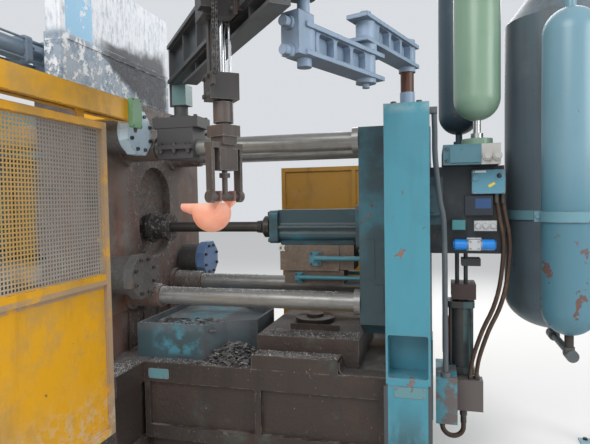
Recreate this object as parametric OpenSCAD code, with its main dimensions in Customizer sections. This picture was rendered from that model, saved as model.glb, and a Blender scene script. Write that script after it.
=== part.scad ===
// Cold chamber die casting machine, seen best at its shot end.
// X runs along the machine from the clamp end to the shot end, Y away from the
// operator, Z up. The origin is on the floor, under the shot side face of the
// fixed platen, on the machine's centre plane.

/* [Machine] */
// Height of the die centre above the floor
axis_z = 1655; // [1500:5:1800]
// Height of the shot axis above the floor
shot_z = 1480; // [1450:5:1510]
// Height of the top face of the bed
bed_top = 606; // [560:2:640]
// Width of the bed under the shot end
bed_w = 1062; // [1040:2:1080]

/* [Clamp] */
// Distance between tie bars, across the machine
tie_span_y = 1064; // [1040:4:1120]
// Distance between tie bars, up and down
tie_span_z = 946; // [930:2:1000]
// Diameter of a tie bar
tie_d = 180; // [160:2:184]
// Width of the platens
platen_w = 1600; // [1560:10:1640]
// Height of the platens
platen_h = 1480; // [1440:10:1520]
// Thickness of the fixed platen
platen_t = 350; // [330:10:400]
// Thickness of both closed die halves together
die_t = 620; // [500:20:700]
// Distance from the moving platen to the toggle platen
toggle_gap = 1050; // [1000:10:1200]
// Height of a pair of toggle links above or below the die centre
toggle_h = 390; // [360:5:400]
// Diameter of a toggle pin
pin_d = 90; // [70:2:100]
// Length of the closing cylinder
closing_l = 620; // [500:20:900]

/* [Shot end] */
// Distance between the round bars of the shot frame, across
bar_span_y = 666; // [640:2:680]
// Height of the lower pair of bars
bar_low_z = 1018; // [1000:2:1040]
// Height of the upper pair of bars
bar_high_z = 2035; // [2020:5:2040]
// Diameter of a bar
bar_d = 118; // [100:2:120]
// Distance from the platen to the columns
column_x = 1827; // [1780:1:1900]
// Length of a column along the machine
column_l = 247; // [220:1:280]
// Height of the columns
column_top = 2196; // [2170:2:2210]
// Outer diameter of the shot sleeve
sleeve_d = 190; // [160:2:200]
// Diameter of the plunger
plunger_d = 100; // [80:2:110]
// Diameter of the plunger rod
rod_d = 74; // [60:2:80]

/* [Ladler] */
// Height of the underside of the boom
boom_z = 2390; // [2390:5:2450]
// Height of the boom
boom_h = 330; // [310:5:380]
// Length of the boom
boom_len = 1834; // [1780:2:2000]
// Turn of the boom away from the machine axis
boom_turn = -50.4; // [-52:0.2:-50]
// Distance of the ladle along the boom, as it stands
ladle_at = 1457; // [1380:1:1480]
// Turn of the ladle's spout about its mast
ladle_turn = -24; // [-40:1:0]
// Width of the ladle cup
cup_d = 170; // [150:2:176]

/* [Guard] */
// Height of the sliding guard door
door_h = 1770; // [1700:10:1780]
// Width of the sliding guard door
door_w = 1250; // [1100:10:1300]
// Reach of the guard rail in front of the machine's centre plane
rail_reach = 3400; // [3380:10:3800]
// Distance of the rear guard behind the machine's centre plane
rear_reach = 1420; // [1300:10:1600]
// Width of a bay of the rear guard
bay_w = 700; // [600:10:760]

/* [Gas bottles] */
// Diameter of the front bottle
front_bottle_d = 300; // [260:2:304]
// Diameter of the rear bottle
rear_bottle_d = 620; // [560:2:626]
// Diameter of the accumulators
accumulator_d = 270; // [220:2:300]

/* [Hidden] */
$fn = 48;
teal = "#4f93a8";
oily = "#3b302c";
grey = "#8d9092";
steel = "#6d6f70";
dark = "#2b2e31";
yellow = "#d9a020";
arm_blue = "#8fb0c8";

// Running clearance round a shaft that stands still in its bore
snug = 0.5;
// Running clearance round a shaft or shoe that moves
loose = 0.3;

platen_z0 = axis_z - platen_h / 2;
platen_z1 = axis_z + platen_h / 2;
half_w = platen_w / 2;
moving_t = 330;
moving_x = -platen_t - die_t - moving_t;
die_x = moving_x + moving_t;
toggle_x1 = moving_x - toggle_gap;
toggle_t = 330;
toggle_x0 = toggle_x1 - toggle_t;
clamp_end = toggle_x0 - 120;
tie_front = 212;
tie_plate_t = 40;
tie_cap_t = 24;
tie_plate_w = tie_d + 108;
base_x1 = 214;
base_half = half_w + 50;
bed_half = bed_w / 2;
rail_w = 300;
rail_y = bed_half - 100;
slide_z = bed_top - 20;

lug_w = 90;
link_w = 108;
lug_pitch = 100;
link_r = pin_d / 2 + 40;
pin_x1 = moving_x - 110;
pin_x0 = toggle_x1 + 110;
pin_xm = (pin_x0 + pin_x1) / 2;
cross_x = toggle_x1 + 300;
cross_pin_z = 150;
ear_pin_z = toggle_h - 100;
close_rod_d = 110;

yoke_x0 = 1650;
yoke_x1 = column_x + 120;
yoke_z0 = 800;
boss_x1 = 257;
cyl_x0 = 985;
cyl_head_t = 60;
sleeve_x1 = 160;
pour_x0 = 38;
pour_x1 = 110;
piston_d = 90;
coupling_x0 = 854;
coupling_x1 = cyl_x0 - 20;
plunger_in = 520;
manifold_z1 = 1358;
riser_z = bed_top + 184;
pan_z = bed_top + 236;
post_z0 = bar_high_z + bar_d / 2 + 71;
post_z1 = post_z0 + 70;

boom_at = [382, -317];
boom_half = 45;
boom_v = 7;
beam_z = boom_z + 65;
rail_low_z = beam_z + 11;
rail_high_z = boom_z + boom_h - 26;
beam_rail_h = 22;
beam_rail_w = 20;
mast_v = -104;
guide_z0 = 2097;
guide_z1 = 2208;
body_z0 = 2432;
lift_rod_d = 30;
side_rod_d = 12;
side_rod_v = 34;
mast_top = 2090;
mast_rod_z1 = 3180;
fork_z1 = 1918;
tilt_z = 1690;
tilt_d = 30;
cup_z = 1620;
cup_rim = 42;
cup_out = 87;
cup_wall = 12;
arm_h = 132;
arm_w = 110;
arm_plate_t = 20;
arm_pin_d = 56;
outer_arm_z = 2258;
inner_arm_z = outer_arm_z + arm_h + 32;
column_pivot = [column_x + 123, -470];
elbow = [1776, -991];
boom_pivot_t = boom_len - 192;
boom_pivot_v = 195;

door_x = 300;
door_y1 = -1022;
door_z0 = 352;
door_mid_z = door_z0 + 861;
door_tube = 40;
rail_z = door_z0 + door_h + 40;
rail_h = 120;
rail_half = 50;
rail_sheet = 6;
rail_y1 = -half_w - 2;
rear_z1 = 1987;

front_bottle_at = [2850, -294];
rear_bottle_at = [2870, 184];
front_neck_z = 790;
rear_neck_z = 785;
stand_x0 = rear_bottle_at[0] + rear_bottle_d / 2 + 20;
valve_x1 = 2510;

// A block given by its limits along the three axes
module block(x0, x1, y0, y1, z0, z1) {
  translate([x0, y0, z0]) cube([x1 - x0, y1 - y0, z1 - z0]);
}

// A round bar along X, from x0 to x1
module bar_x(x0, x1, y, z, d) {
  translate([x0, y, z]) rotate([0, 90, 0]) cylinder(d = d, h = x1 - x0);
}

// A round bar along Y, from y0 to y1
module bar_y(y0, y1, x, z, d) {
  translate([x, y0, z]) rotate([-90, 0, 0]) cylinder(d = d, h = y1 - y0);
}

// A round bar along Z, from z0 to z1
module bar_z(z0, z1, x, y, d) {
  translate([x, y, z0]) cylinder(d = d, h = z1 - z0);
}

// A flat outline in Y and Z, drawn out along X
module along_x(x0, x1) {
  translate([x0, 0, 0]) rotate([90, 0, 90]) linear_extrude(x1 - x0) children();
}

// A flat outline in X and Z, drawn out along Y
module along_y(y0, y1) {
  translate([0, y1, 0]) rotate([90, 0, 0]) linear_extrude(y1 - y0) children();
}

// A rectangle with round corners, about its own centre
module rounded(w, h, r) {
  square([w - 2 * r, h], center = true);
  square([w, h - 2 * r], center = true);
  for (x = [-1, 1], y = [-1, 1]) translate([x * (w / 2 - r), y * (h / 2 - r)]) circle(r);
}

// An outline given for one side, with its mirror image on the other side
module both_sides(points) {
  last = len(points) - 1;
  polygon(concat(points, [for (i = [last : -1 : 0]) [-points[i][0], points[i][1]]]));
}

// The unit vector to the left of a direction
function left(v) = [-v[1], v[0]] / norm(v);

// A closed outline moved inward by w, its corners mitred
function inset(p, w) = [
  for (i = [0 : len(p) - 1])
    let (
      a = p[(i + len(p) - 1) % len(p)],
      c = p[(i + 1) % len(p)],
      m = left(p[i] - a),
      n = left(c - p[i])
    )
    p[i] + w * (m + n) / (1 + m * n)
];

// The four tie bar places
module at_ties() {
  for (sy = [-1, 1], sz = [-1, 1])
    translate([0, sy * tie_span_y / 2, axis_z + sz * tie_span_z / 2]) children();
}

// The four shot bar places
module at_bars() {
  for (sy = [-1, 1], z = [bar_low_z, bar_high_z])
    translate([0, sy * bar_span_y / 2, z]) children();
}

// The boom's own frame, with X along the boom from its inner end
module at_boom(t = 0, v = 0) {
  translate([boom_at[0], boom_at[1], 0]) rotate([0, 0, boom_turn]) translate([t, v, 0]) children();
}

// The ladle's own frame on its mast, with its spout towards -X
module at_ladle() {
  at_boom(ladle_at, mast_v) rotate([0, 0, ladle_turn - boom_turn]) children();
}

// A place beside the boom, in the machine's frame
function by_boom(t, v) = [
  boom_at[0] + t * cos(boom_turn) - v * sin(boom_turn),
  boom_at[1] + t * sin(boom_turn) + v * cos(boom_turn)
];
boom_pivot = by_boom(boom_pivot_t, boom_pivot_v);

// An octagonal plate along X
module octagon_x(x0, x1, across) {
  translate([x0, 0, 0]) rotate([0, 90, 0]) rotate([0, 0, 22.5])
    cylinder(d = across / cos(22.5), h = x1 - x0, $fn = 8);
}

// A curve through the points p, with n steps from each to the next
function curve(p, n) = [
  for (i = [0 : len(p) - 2], k = [0 : n - 1])
    let (
      a = p[max(i - 1, 0)],
      b = p[i],
      c = p[i + 1],
      d = p[min(i + 2, len(p) - 1)],
      t = k / n
    )
    b + t * (c - a) / 2 + t * t * (a - 2.5 * b + 2 * c - d / 2) + t * t * t * (1.5 * (b - c) + (d - a) / 2),
  p[len(p) - 1]
];

// The direction of a route at its point i
function heading(p, i) = let (v = p[min(i + 1, len(p) - 1)] - p[max(i - 1, 0)]) v / norm(v);

// A round tube along a route that never runs along Y
module tube(route, d, sides = 8) {
  n = len(route);
  rings = [
    for (i = [0 : n - 1])
      let (side = cross(heading(route, i), [0, 1, 0]), e = side / norm(side))
      for (k = [0 : sides - 1])
        let (a = 360 * k / sides)
        route[i] + d / 2 * (cos(a) * [0, 1, 0] + sin(a) * e)
  ];
  walls = [
    for (i = [0 : n - 2], k = [0 : sides - 1])
      let (j = (k + 1) % sides)
      [i * sides + k, (i + 1) * sides + k, (i + 1) * sides + j, i * sides + j]
  ];
  start = [for (k = [0 : sides - 1]) k];
  end = [for (k = [sides - 1 : -1 : 0]) (n - 1) * sides + k];
  polyhedron(points = rings, faces = concat([start], [end], walls));
}

// The outline of one side of a bed: top flange, sunk panel, ledge and foot
function bed_side(half, top) = [
  [half - 60, 0], [half - 60, 95], [half, 95], [half, 184], [half - 26, 184],
  [half - 26, top - 131], [half, top - 131], [half, top]
];

module clamp_bed() {
  half = bed_half + 60;
  body_z = slide_z - 100;
  pocket = 420;
  color(oily) difference() {
    union() {
      along_x(clamp_end, -platen_t) both_sides(bed_side(half, body_z));
      for (s = [-1, 1])
        block(clamp_end, -platen_t, s * rail_y - rail_w / 2, s * rail_y + rail_w / 2, body_z - 1, slide_z);
    }
    for (x = [clamp_end + 400 : 640 : -platen_t - 300])
      translate([x, 0, 270]) rotate([90, 0, 0]) linear_extrude(2 * half + 2, center = true)
        rounded(pocket, 130, 40);
  }
}

module platen_base() {
  color(oily) difference() {
    union() {
      block(-platen_t, base_x1, -base_half, base_half, bed_top - 131, bed_top);
      block(-platen_t + 30, base_x1 - 30, -base_half + 26, base_half - 26, 95, bed_top - 130);
      block(-platen_t, base_x1, -base_half, base_half, 0, 95);
    }
    for (s = [-1, 1])
      translate([(base_x1 - platen_t) / 2, s * base_half, 285]) rotate([90, 0, 0])
        linear_extrude(160, center = true) rounded(platen_t + base_x1 - 220, 260, 50);
  }
}

module shot_bed() {
  end = column_x - 12;
  color(oily) {
    along_x(base_x1, end) both_sides(bed_side(bed_half, bed_top));
    for (s = [-1, 1], x = [base_x1, (base_x1 + end) / 2 - 20, end - 40])
      block(x, x + 40, s * (bed_half - 15) - 15, s * (bed_half - 15) + 15, 183, bed_top - 130);
  }
}

// T slots beside the die on a clamping face at x; side is the way the face looks
module t_slots(x, side) {
  for (s = [-1, 1], z = [-330, -160, 160, 330]) translate([x, s * half_w, axis_z + z]) {
    block(-40, 40, -420, 420, -14, 14);
    translate([side * -32, 0, 0]) block(-12, 12, -420, 420, -25, 25);
  }
}

module fixed_platen() {
  recess_d = 465;
  recess_y = 40;
  top_z = axis_z + 52;
  color("#5d4a42") difference() {
    union() {
      along_x(-platen_t, 0) translate([0, axis_z]) rounded(platen_w, platen_h, 50);
      for (s = [-1, 1])
        block(-platen_t + 30, -30, s * (half_w - 180) - 160, s * (half_w - 180) + 160, bed_top, platen_z0 + 1);
      for (y = [-1, 1], z = [bar_low_z, bar_high_z]) {
        bar_x(-1, boss_x1, y * bar_span_y / 2, z, bar_d + 40);
        bar_x(-1, 30, y * bar_span_y / 2, z, bar_d + 90);
      }
    }
    at_ties() bar_x(-platen_t - 1, 1, 0, 0, tie_d + 2 * snug);
    at_ties() bar_x(0, boss_x1, 0, 0, tie_d + 84);
    at_ties() octagon_x(tie_front - tie_plate_t - 2, boss_x1 + 1, tie_plate_w + 4);
    along_x(-60, 1) {
      translate([recess_y - recess_d / 2, shot_z]) square([recess_d, top_z - shot_z]);
      for (z = [shot_z, top_z]) translate([recess_y, z]) circle(d = recess_d);
    }
    bar_x(-platen_t - 1, 1, 0, shot_z, sleeve_d + 2 * snug);
    at_bars() bar_x(0, boss_x1 + 1, 0, 0, bar_d + 2 * snug);
    t_slots(-platen_t, -1);
  }
}

module platen_hood() {
  top = platen_z1 + 325;
  color("#93a3ab") {
    difference() {
      translate([-127, -236, platen_z1]) linear_extrude(top - platen_z1) rounded(126, 1313, 12);
      translate([-64, -236, (platen_z1 + top) / 2]) rotate([90, 0, 90]) linear_extrude(12, center = true)
        rounded(1220, 250, 20);
    }
    translate([-130, -220, top - 1]) linear_extrude(461) rounded(110, 1320, 12);
  }
}

module tie_bars() {
  taper = 10;
  color(steel) at_ties() {
    bar_x(toggle_x0 - 60, tie_front - taper, 0, 0, tie_d);
    translate([tie_front - taper - 1, 0, 0]) rotate([0, 90, 0])
      cylinder(d1 = tie_d, d2 = tie_d - 2 * taper, h = taper);
  }
}

module tie_bar_ends() {
  nut_d = tie_d + 80;
  color("#8fa9bd") at_ties() difference() {
    union() {
      bar_x(0, tie_front - tie_plate_t + 1, 0, 0, nut_d);
      octagon_x(tie_front - tie_plate_t, tie_front + tie_cap_t, tie_plate_w);
    }
    bar_x(-1, tie_front, 0, 0, tie_d + 2 * snug);
  }
  color(steel) at_ties() difference() {
    bar_x(toggle_x0 - 110, toggle_x0, 0, 0, nut_d);
    bar_x(toggle_x0 - 60, toggle_x0 + 1, 0, 0, tie_d + 2 * snug);
    for (a = [0 : 60 : 300]) rotate([a, 0, 0]) block(toggle_x0 - 111, toggle_x0 - 70, -12, 12, nut_d / 2 - 16, nut_d);
  }
}

module fixed_die() {
  color(grey) difference() {
    union() {
      block(-platen_t - 60, -platen_t, -430, 430, axis_z - 370, axis_z + 370);
      block(-platen_t - die_t / 2, -platen_t - 59, -390, 390, axis_z - 350, axis_z + 350);
    }
    bar_x(-platen_t - 101, -platen_t + 1, 0, shot_z, sleeve_d + 2 * snug);
    for (s = [-1, 1]) block(-platen_t - 200, -platen_t - 120, s * 390 - 30, s * 390 + 30, axis_z - 60, axis_z + 60);
  }
}

module moving_die() {
  color(grey) {
    block(die_x, die_x + 55, -430, 430, axis_z - 370, axis_z + 370);
    for (s = [-1, 1]) block(die_x + 54, die_x + 150, s * 310 - 80, s * 310 + 80, axis_z - 350, axis_z + 350);
    block(die_x + 149, -platen_t - die_t / 2, -390, 390, axis_z - 350, axis_z + 350);
  }
}

// A moving or toggle platen: plate, guide feet, tie bar bores and toggle lugs
module clamp_platen(x0, x1, lug_x, lug_ys, w) {
  face = lug_x < x0 ? x0 : x1;
  difference() {
    union() {
      along_x(x0, x1) translate([0, axis_z]) rounded(platen_w - 40, platen_h, 60);
      for (s = [-1, 1])
        block(x0 + 20, x1 - 20, s * rail_y - 140, s * rail_y + 140, slide_z, platen_z0 + 1);
      for (y = lug_ys, s = [-1, 1]) {
        block(min(face, lug_x), max(face, lug_x), y - w / 2, y + w / 2, axis_z + s * toggle_h - link_r,
          axis_z + s * toggle_h + link_r);
        bar_y(y - w / 2, y + w / 2, lug_x, axis_z + s * toggle_h, 2 * link_r);
      }
    }
    at_ties() bar_x(x0 - 1, x1 + 1, 0, 0, tie_d + 2 * snug);
    for (s = [-1, 1]) bar_y(-half_w, half_w, lug_x, axis_z + s * toggle_h, pin_d + 2 * snug);
  }
}

module moving_platen() {
  color(teal) difference() {
    clamp_platen(moving_x, die_x, pin_x1, [-3 * lug_pitch, -lug_pitch, lug_pitch, 3 * lug_pitch], lug_w);
    t_slots(die_x, 1);
  }
}

module toggle_platen() {
  color(teal) difference() {
    clamp_platen(toggle_x0, toggle_x1, pin_x0, [-2 * lug_pitch, 0, 2 * lug_pitch], link_w);
    bar_x(toggle_x0 - 1, toggle_x1 + 1, 0, axis_z, close_rod_d + 2 * snug);
  }
}

// One toggle link between two pins, with an eye at each end
module toggle_link(x0, x1, y, w) {
  difference() {
    union() {
      for (x = [x0, x1]) bar_y(y - w / 2, y + w / 2, x, 0, 2 * link_r);
      block(x0, x1, y - w / 2, y + w / 2, -link_r + 22, link_r - 22);
    }
    for (x = [x0, x1]) bar_y(y - w, y + w, x, 0, pin_d + 2 * snug);
  }
}

// The upper half of the toggle, above the die centre
module toggle_half() {
  small_pin = 50;
  ear_d = 90;
  outer_ys = [-3 * lug_pitch, -lug_pitch, lug_pitch, 3 * lug_pitch];
  for (y = [-2 * lug_pitch, 0, 2 * lug_pitch]) translate([0, 0, toggle_h]) toggle_link(pin_xm, pin_x1, y, link_w);
  for (x = [pin_x0, pin_xm, pin_x1]) bar_y(-3.5 * lug_pitch, 3.5 * lug_pitch, x, toggle_h, pin_d);
  for (y = outer_ys) difference() {
    union() {
      translate([0, 0, toggle_h]) toggle_link(pin_x0, pin_xm, y, lug_w);
      bar_y(y - lug_w / 2, y + lug_w / 2, cross_x, ear_pin_z, ear_d);
      block(cross_x - ear_d / 2, cross_x + ear_d / 2, y - lug_w / 2, y + lug_w / 2, ear_pin_z,
        toggle_h - link_r + 30);
    }
    bar_y(y - lug_w, y + lug_w, cross_x, ear_pin_z, small_pin + 2 * snug);
  }
  for (y = [-2 * lug_pitch, 2 * lug_pitch]) {
    difference() {
      union() {
        for (z = [cross_pin_z, ear_pin_z]) bar_y(y - lug_w / 2, y + lug_w / 2, cross_x, z, ear_d - 6);
        block(cross_x - 28, cross_x + 28, y - lug_w / 2, y + lug_w / 2, cross_pin_z, ear_pin_z);
      }
      for (z = [cross_pin_z, ear_pin_z]) bar_y(y - lug_w, y + lug_w, cross_x, z, small_pin + 2 * snug);
    }
    for (z = [cross_pin_z, ear_pin_z]) bar_y(y - 1.4 * lug_pitch, y + 1.4 * lug_pitch, cross_x, z, small_pin);
  }
}

module toggle_links() {
  color(steel) translate([0, 0, axis_z]) {
    toggle_half();
    mirror([0, 0, 1]) toggle_half();
  }
}

module closing_cylinder() {
  back = toggle_x0 - 60 - closing_l;
  color(teal) {
    bar_x(back - 1, toggle_x0 - 59, 0, axis_z, 260);
    along_x(toggle_x0 - 60, toggle_x0) translate([0, axis_z]) rounded(380, 380, 40);
    along_x(back - 80, back) translate([0, axis_z]) rounded(340, 340, 40);
    bar_x(back - 100, back - 79, 0, axis_z, 150);
  }
  color(steel) {
    for (y = [-140, 140], z = [-140, 140]) bar_x(back - 1, toggle_x0 - 59, y, axis_z + z, 32);
    bar_x(toggle_x0 - 1, cross_x, 0, axis_z, close_rod_d);
    difference() {
      union() {
        block(cross_x - 70, cross_x + 70, -310, 310, axis_z - 90, axis_z + 90);
        for (y = [-270, -130, 130, 270]) {
          block(cross_x - 45, cross_x + 45, y - 22, y + 22, axis_z - cross_pin_z, axis_z + cross_pin_z);
          for (s = [-1, 1]) bar_y(y - 22, y + 22, cross_x, axis_z + s * cross_pin_z, 90);
        }
      }
      for (s = [-1, 1]) bar_y(-400, 400, cross_x, axis_z + s * cross_pin_z, 50 + 2 * snug);
    }
  }
}

module core_cylinder() {
  x = -300;
  z = platen_z1 + 200;
  back = -1385;
  color("#6f7f8c") {
    bar_y(back, -984, x, z, 125);
    for (y = [back - 40, -985]) translate([x, y + 20, z]) rotate([90, 0, 0])
      linear_extrude(42, center = true) rounded(160, 160, 24);
    block(x - 50, x + 104, -800, -770, platen_z1, z + 90);
    for (s = [-1, 1]) block(x + s * 40 - 8, x + s * 40 + 8, -771, -690, platen_z1, platen_z1 + 120);
  }
  color(steel) {
    bar_y(-946, -799, x, z, 60);
    for (dx = [-60, 60], dz = [-60, 60]) {
      bar_y(back - 1, -984, x + dx, z + dz, 14);
      bar_y(-946, -799, x + dx * 0.75, z + dz, 22);
    }
  }
}

module shot_bars() {
  color(steel) at_bars() {
    bar_x(0, yoke_x0, 0, 0, bar_d);
    bar_x(yoke_x0 - 40, yoke_x0, 0, 0, bar_d + 46);
  }
}

module shot_yoke() {
  half = 395;
  top = bar_high_z + bar_d / 2 + 16;
  color(teal) difference() {
    union() {
      along_x(yoke_x0, yoke_x1) both_sides([[half - 150, yoke_z0], [half, yoke_z0 + 90], [half, top]]);
      for (s = [-1, 1]) {
        block(yoke_x0 + 85, yoke_x0 + 147, s * half - 6, s * half + 6, bar_low_z - 49, bar_low_z + 122);
        block(yoke_x0 + 32, yoke_x0 + 94, s * half - 5, s * half + 5, 1177, 1417);
      }
    }
    bar_x(yoke_x0 - 1, yoke_x1 + 1, 0, shot_z, 150 + 2 * snug);
  }
}

// One column of the shot frame, on its own foot; side is -1 at the front
module column(side) {
  inner = side * 395;
  outer = side * 645;
  y0 = min(inner, outer);
  y1 = max(inner, outer);
  mid_x = column_x + column_l / 2;
  difference() {
    union() {
      block(column_x, column_x + column_l, y0, y1, bed_top, column_top);
      block(column_x - 12, column_x + column_l + 8, y0 - 4, y1 + 4, 0, bed_top + 1);
    }
    translate([mid_x, outer, 776]) rotate([90, 0, 0]) linear_extrude(360, center = true)
      rounded(column_l - 24, 244, 12);
  }
}

module front_column() {
  color(teal) column(-1);
}

module rear_column() {
  color(teal) column(1);
}

module shot_cylinder() {
  head_x1 = cyl_x0 + cyl_head_t;
  color(teal) difference() {
    union() {
      bar_x(head_x1 - 1, yoke_x0, 0, shot_z, 200);
      along_x(cyl_x0, head_x1) translate([0, shot_z + 4]) rounded(280, 228, 30);
      block(head_x1 - 1, yoke_x0, -95, 95, shot_z + 10, shot_z + 122);
      for (y = [-70, 70]) bar_x(head_x1 - 1, yoke_x0, y, shot_z - 50, 80);
      along_x(yoke_x0 - 60, yoke_x0) translate([0, shot_z]) rounded(300, 300, 40);
      block(head_x1 - 1, yoke_x0 - 80, -60, 60, manifold_z1, shot_z - 60);
    }
    bar_x(cyl_x0 - 1, yoke_x0 - 60, 0, shot_z, piston_d + 2 * loose);
  }
  color(steel) for (s = [-1, 1]) bar_x(head_x1 - 1, yoke_x0 - 59, s * 120, shot_z, 24);
}

module shot_manifold() {
  color("#7a6a5c") {
    block(1057, 1471, -125, 125, manifold_z1 - 174, manifold_z1);
    block(1470, 1572, -110, 110, manifold_z1 - 167, manifold_z1);
    block(1081, 1500, -100, 100, manifold_z1 - 270, manifold_z1 - 173);
    for (x = [1057, 1081]) difference() {
      bar_y(-135, -115, x + 12, manifold_z1 - 20, 44);
      bar_y(-136, -114, x + 12, manifold_z1 - 20, 24);
    }
  }
  color(teal) {
    for (s = [-1, 1]) {
      translate([1309, s * 131, manifold_z1 - 91]) rotate([90, 0, 0]) linear_extrude(14, center = true)
        rounded(82, 97, 14);
      bar_x(1309, yoke_x0, s * 160, manifold_z1 - 85, 34);
      bar_y(s * 146 - 16, s * 146 + 16, 1309, manifold_z1 - 85, 44);
      translate([1192, s * 106, manifold_z1 - 226]) rotate([90, 0, 0]) linear_extrude(14, center = true)
        rounded(71, 71, 12);
      bar_x(1192, yoke_x0, s * 134, manifold_z1 - 221, 30);
      bar_y(s * 120 - 16, s * 120 + 16, 1192, manifold_z1 - 221, 38);
    }
  }
}

module plunger_rod() {
  tip_x0 = pour_x1 + 4;
  color(steel) {
    bar_x(tip_x0, sleeve_x1 - 2, 0, shot_z, plunger_d);
    bar_x(sleeve_x1 - 3, coupling_x0 + 1, 0, shot_z, rod_d);
    translate([coupling_x0, 0, shot_z]) rotate([0, 90, 0]) rotate_extrude()
      polygon([[0, 0], [rod_d / 2 + 6, 0], [rod_d / 2 + 10, 40], [78, 62], [78, 100], [64, 104], [64, 111], [0, 111]]);
    bar_x(coupling_x1 - 1, cyl_x0 + plunger_in, 0, shot_z, piston_d);
  }
}

module shot_sleeve() {
  slot_y = 38;
  color(grey) difference() {
    union() {
      bar_x(-platen_t - 100, sleeve_x1, 0, shot_z, sleeve_d);
      bar_x(0, 30, 0, shot_z, sleeve_d + 50);
      bar_x(sleeve_x1 - 28, sleeve_x1, 0, shot_z, sleeve_d + 20);
    }
    bar_x(-platen_t - 101, sleeve_x1 + 1, 0, shot_z, plunger_d + 2 * loose);
    translate([(pour_x0 + pour_x1) / 2, 0, shot_z]) linear_extrude(sleeve_d)
      rounded(pour_x1 - pour_x0, 2 * slot_y, 20);
  }
}

module bed_riser() {
  color(oily) {
    block(975, 1530, -bed_half, bed_half, bed_top, bed_top + 89);
    block(970, yoke_x0 - 10, -400, 400, bed_top, riser_z);
    bar_z(riser_z - 1, riser_z + 36, 1260, 60, 280);
    bar_z(riser_z + 35, riser_z + 60, 1260, 60, 120);
    block(1145, 1488, -206, -194, riser_z - 1, riser_z + 40);
  }
}

drip_plan = [
  [107, -430], [605, -430], [716, -288], [905, -190],
  [905, 190], [716, 288], [605, 430], [107, 430]
];

module drip_box() {
  color(teal) translate([0, 0, bed_top]) difference() {
    linear_extrude(pan_z - bed_top) polygon(drip_plan);
    translate([0, 0, pan_z - bed_top - 40]) linear_extrude(41) polygon(inset(drip_plan, 18));
  }
}

module chip_tray() {
  sheet = 5;
  lip_r = 40;
  color(grey) along_y(-520, -402) translate([1532 + lip_r, bed_top]) {
    translate([0, 0]) square([column_x - 22 - 1532 - lip_r, sheet]);
    translate([0, lip_r]) intersection() {
      difference() {
        circle(lip_r);
        circle(lip_r - sheet);
      }
      translate([-lip_r, -lip_r]) square(lip_r + 0.1);
    }
    translate([-lip_r, lip_r]) square([sheet, 30]);
  }
}

module boom_post() {
  y = -bar_span_y / 2;
  color(dark) {
    difference() {
      union() {
        block(boss_x1 + 43, 560, y - 95, y + 95, bar_high_z - 75, post_z0);
        block(boss_x1 + 43, 560, y - 125, y + 125, bar_high_z - 14, bar_high_z + 14);
      }
      bar_x(boss_x1, 561, y, bar_high_z, bar_d + 2 * snug);
    }
    block(268, 598, -433, -233, post_z0, post_z1);
    bar_z(post_z1 - 1, 2320, 433, y, 95);
    bar_z(post_z1 - 1, post_z1 + 18, 433, y, 150);
  }
  color(teal) block(400, 500, -395, -295, 2319, beam_z - loose);
}

module ladler_boom() {
  web = 52;
  lug_t = 50;
  shaft_d = arm_pin_d - 1;
  color(dark) at_boom() {
    rotate([90, 0, 90]) linear_extrude(boom_len - 12) polygon([
      [-38, beam_z], [web, beam_z], [web, boom_z + boom_h], [-38, boom_z + boom_h],
      [-38, boom_z + boom_h - 30], [0, boom_z + boom_h - 30], [0, beam_z + 46], [-38, beam_z + 46]
    ]);
    block(boom_len - 13, boom_len, -38, web, beam_z, boom_z + boom_h);
    block(18, 32, -38, web, beam_z, boom_z + boom_h);
    block(-10, 19, -35, 5, 2320 + loose, boom_z + boom_h + 20);
    translate([414, 0, 0]) rotate([90, 0, 90]) linear_extrude(boom_len - 414) polygon([
      [-36, boom_z], [50, boom_z], [50, beam_z + 1], [30, beam_z + 1], [30, boom_z + 16],
      [-36, boom_z + 16]
    ]);
    for (t = [700 : 450 : boom_len - 100]) block(t - 6, t + 6, -30, 31, boom_z + 15, beam_z + 1);
    for (t = [430 : 330 : boom_len - 60]) block(t - 6, t + 6, -36, 1, beam_z + 45, boom_z + boom_h - 29);
    for (z = [rail_low_z, rail_high_z])
      block(45, boom_len - 13, -boom_v - 31 - beam_rail_w, -37, z, z + beam_rail_h);
    for (z = [boom_z + 110, boom_z + 270]) difference() {
      union() {
        block(boom_pivot_t - lug_t, boom_pivot_t + lug_t, web - 1, boom_pivot_v, z, z + 30);
        bar_z(z, z + 30, boom_pivot_t, boom_pivot_v, 2 * lug_t);
      }
      bar_z(z - 1, z + 31, boom_pivot_t, boom_pivot_v, shaft_d + 2 * snug);
    }
  }
}

// A ladder frame arm from one vertical pin to the next, with windows in its sides
module ladder_arm(run) {
  first = 42;
  pitch = (run - 62 - first) / 3;
  window_h = arm_h - 2 * arm_plate_t;
  wall = 40;
  difference() {
    union() {
      for (z = [0, arm_h - arm_plate_t]) translate([0, 0, z]) linear_extrude(arm_plate_t) {
        translate([-50, -arm_w / 2]) square([run + 50 + 93, arm_w]);
      }
      block(30, run + 24, -wall, wall, arm_plate_t - 1, arm_h - arm_plate_t + 1);
      bar_z(1, arm_h - 1, run, 0, 95);
      bar_z(1, arm_h - 1, 0, 0, 95);
    }
    for (i = [0 : 2], s = [-1, 1])
      translate([first + 13 + i * pitch + (pitch - 26) / 2, s * wall, arm_h / 2]) rotate([90, 0, 0])
        linear_extrude(70, center = true) rounded(pitch - 26, window_h - 8, 18);
    for (x = [0, run]) bar_z(-1, arm_h + 1, x, 0, arm_pin_d + 2 * snug);
  }
}

// A link arm laid from the pin p to the pin q at height z
module arm_between(p, q, z) {
  translate([p[0], p[1], z]) rotate([0, 0, atan2(q[1] - p[1], q[0] - p[0])]) ladder_arm(norm(q - p));
}

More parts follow.
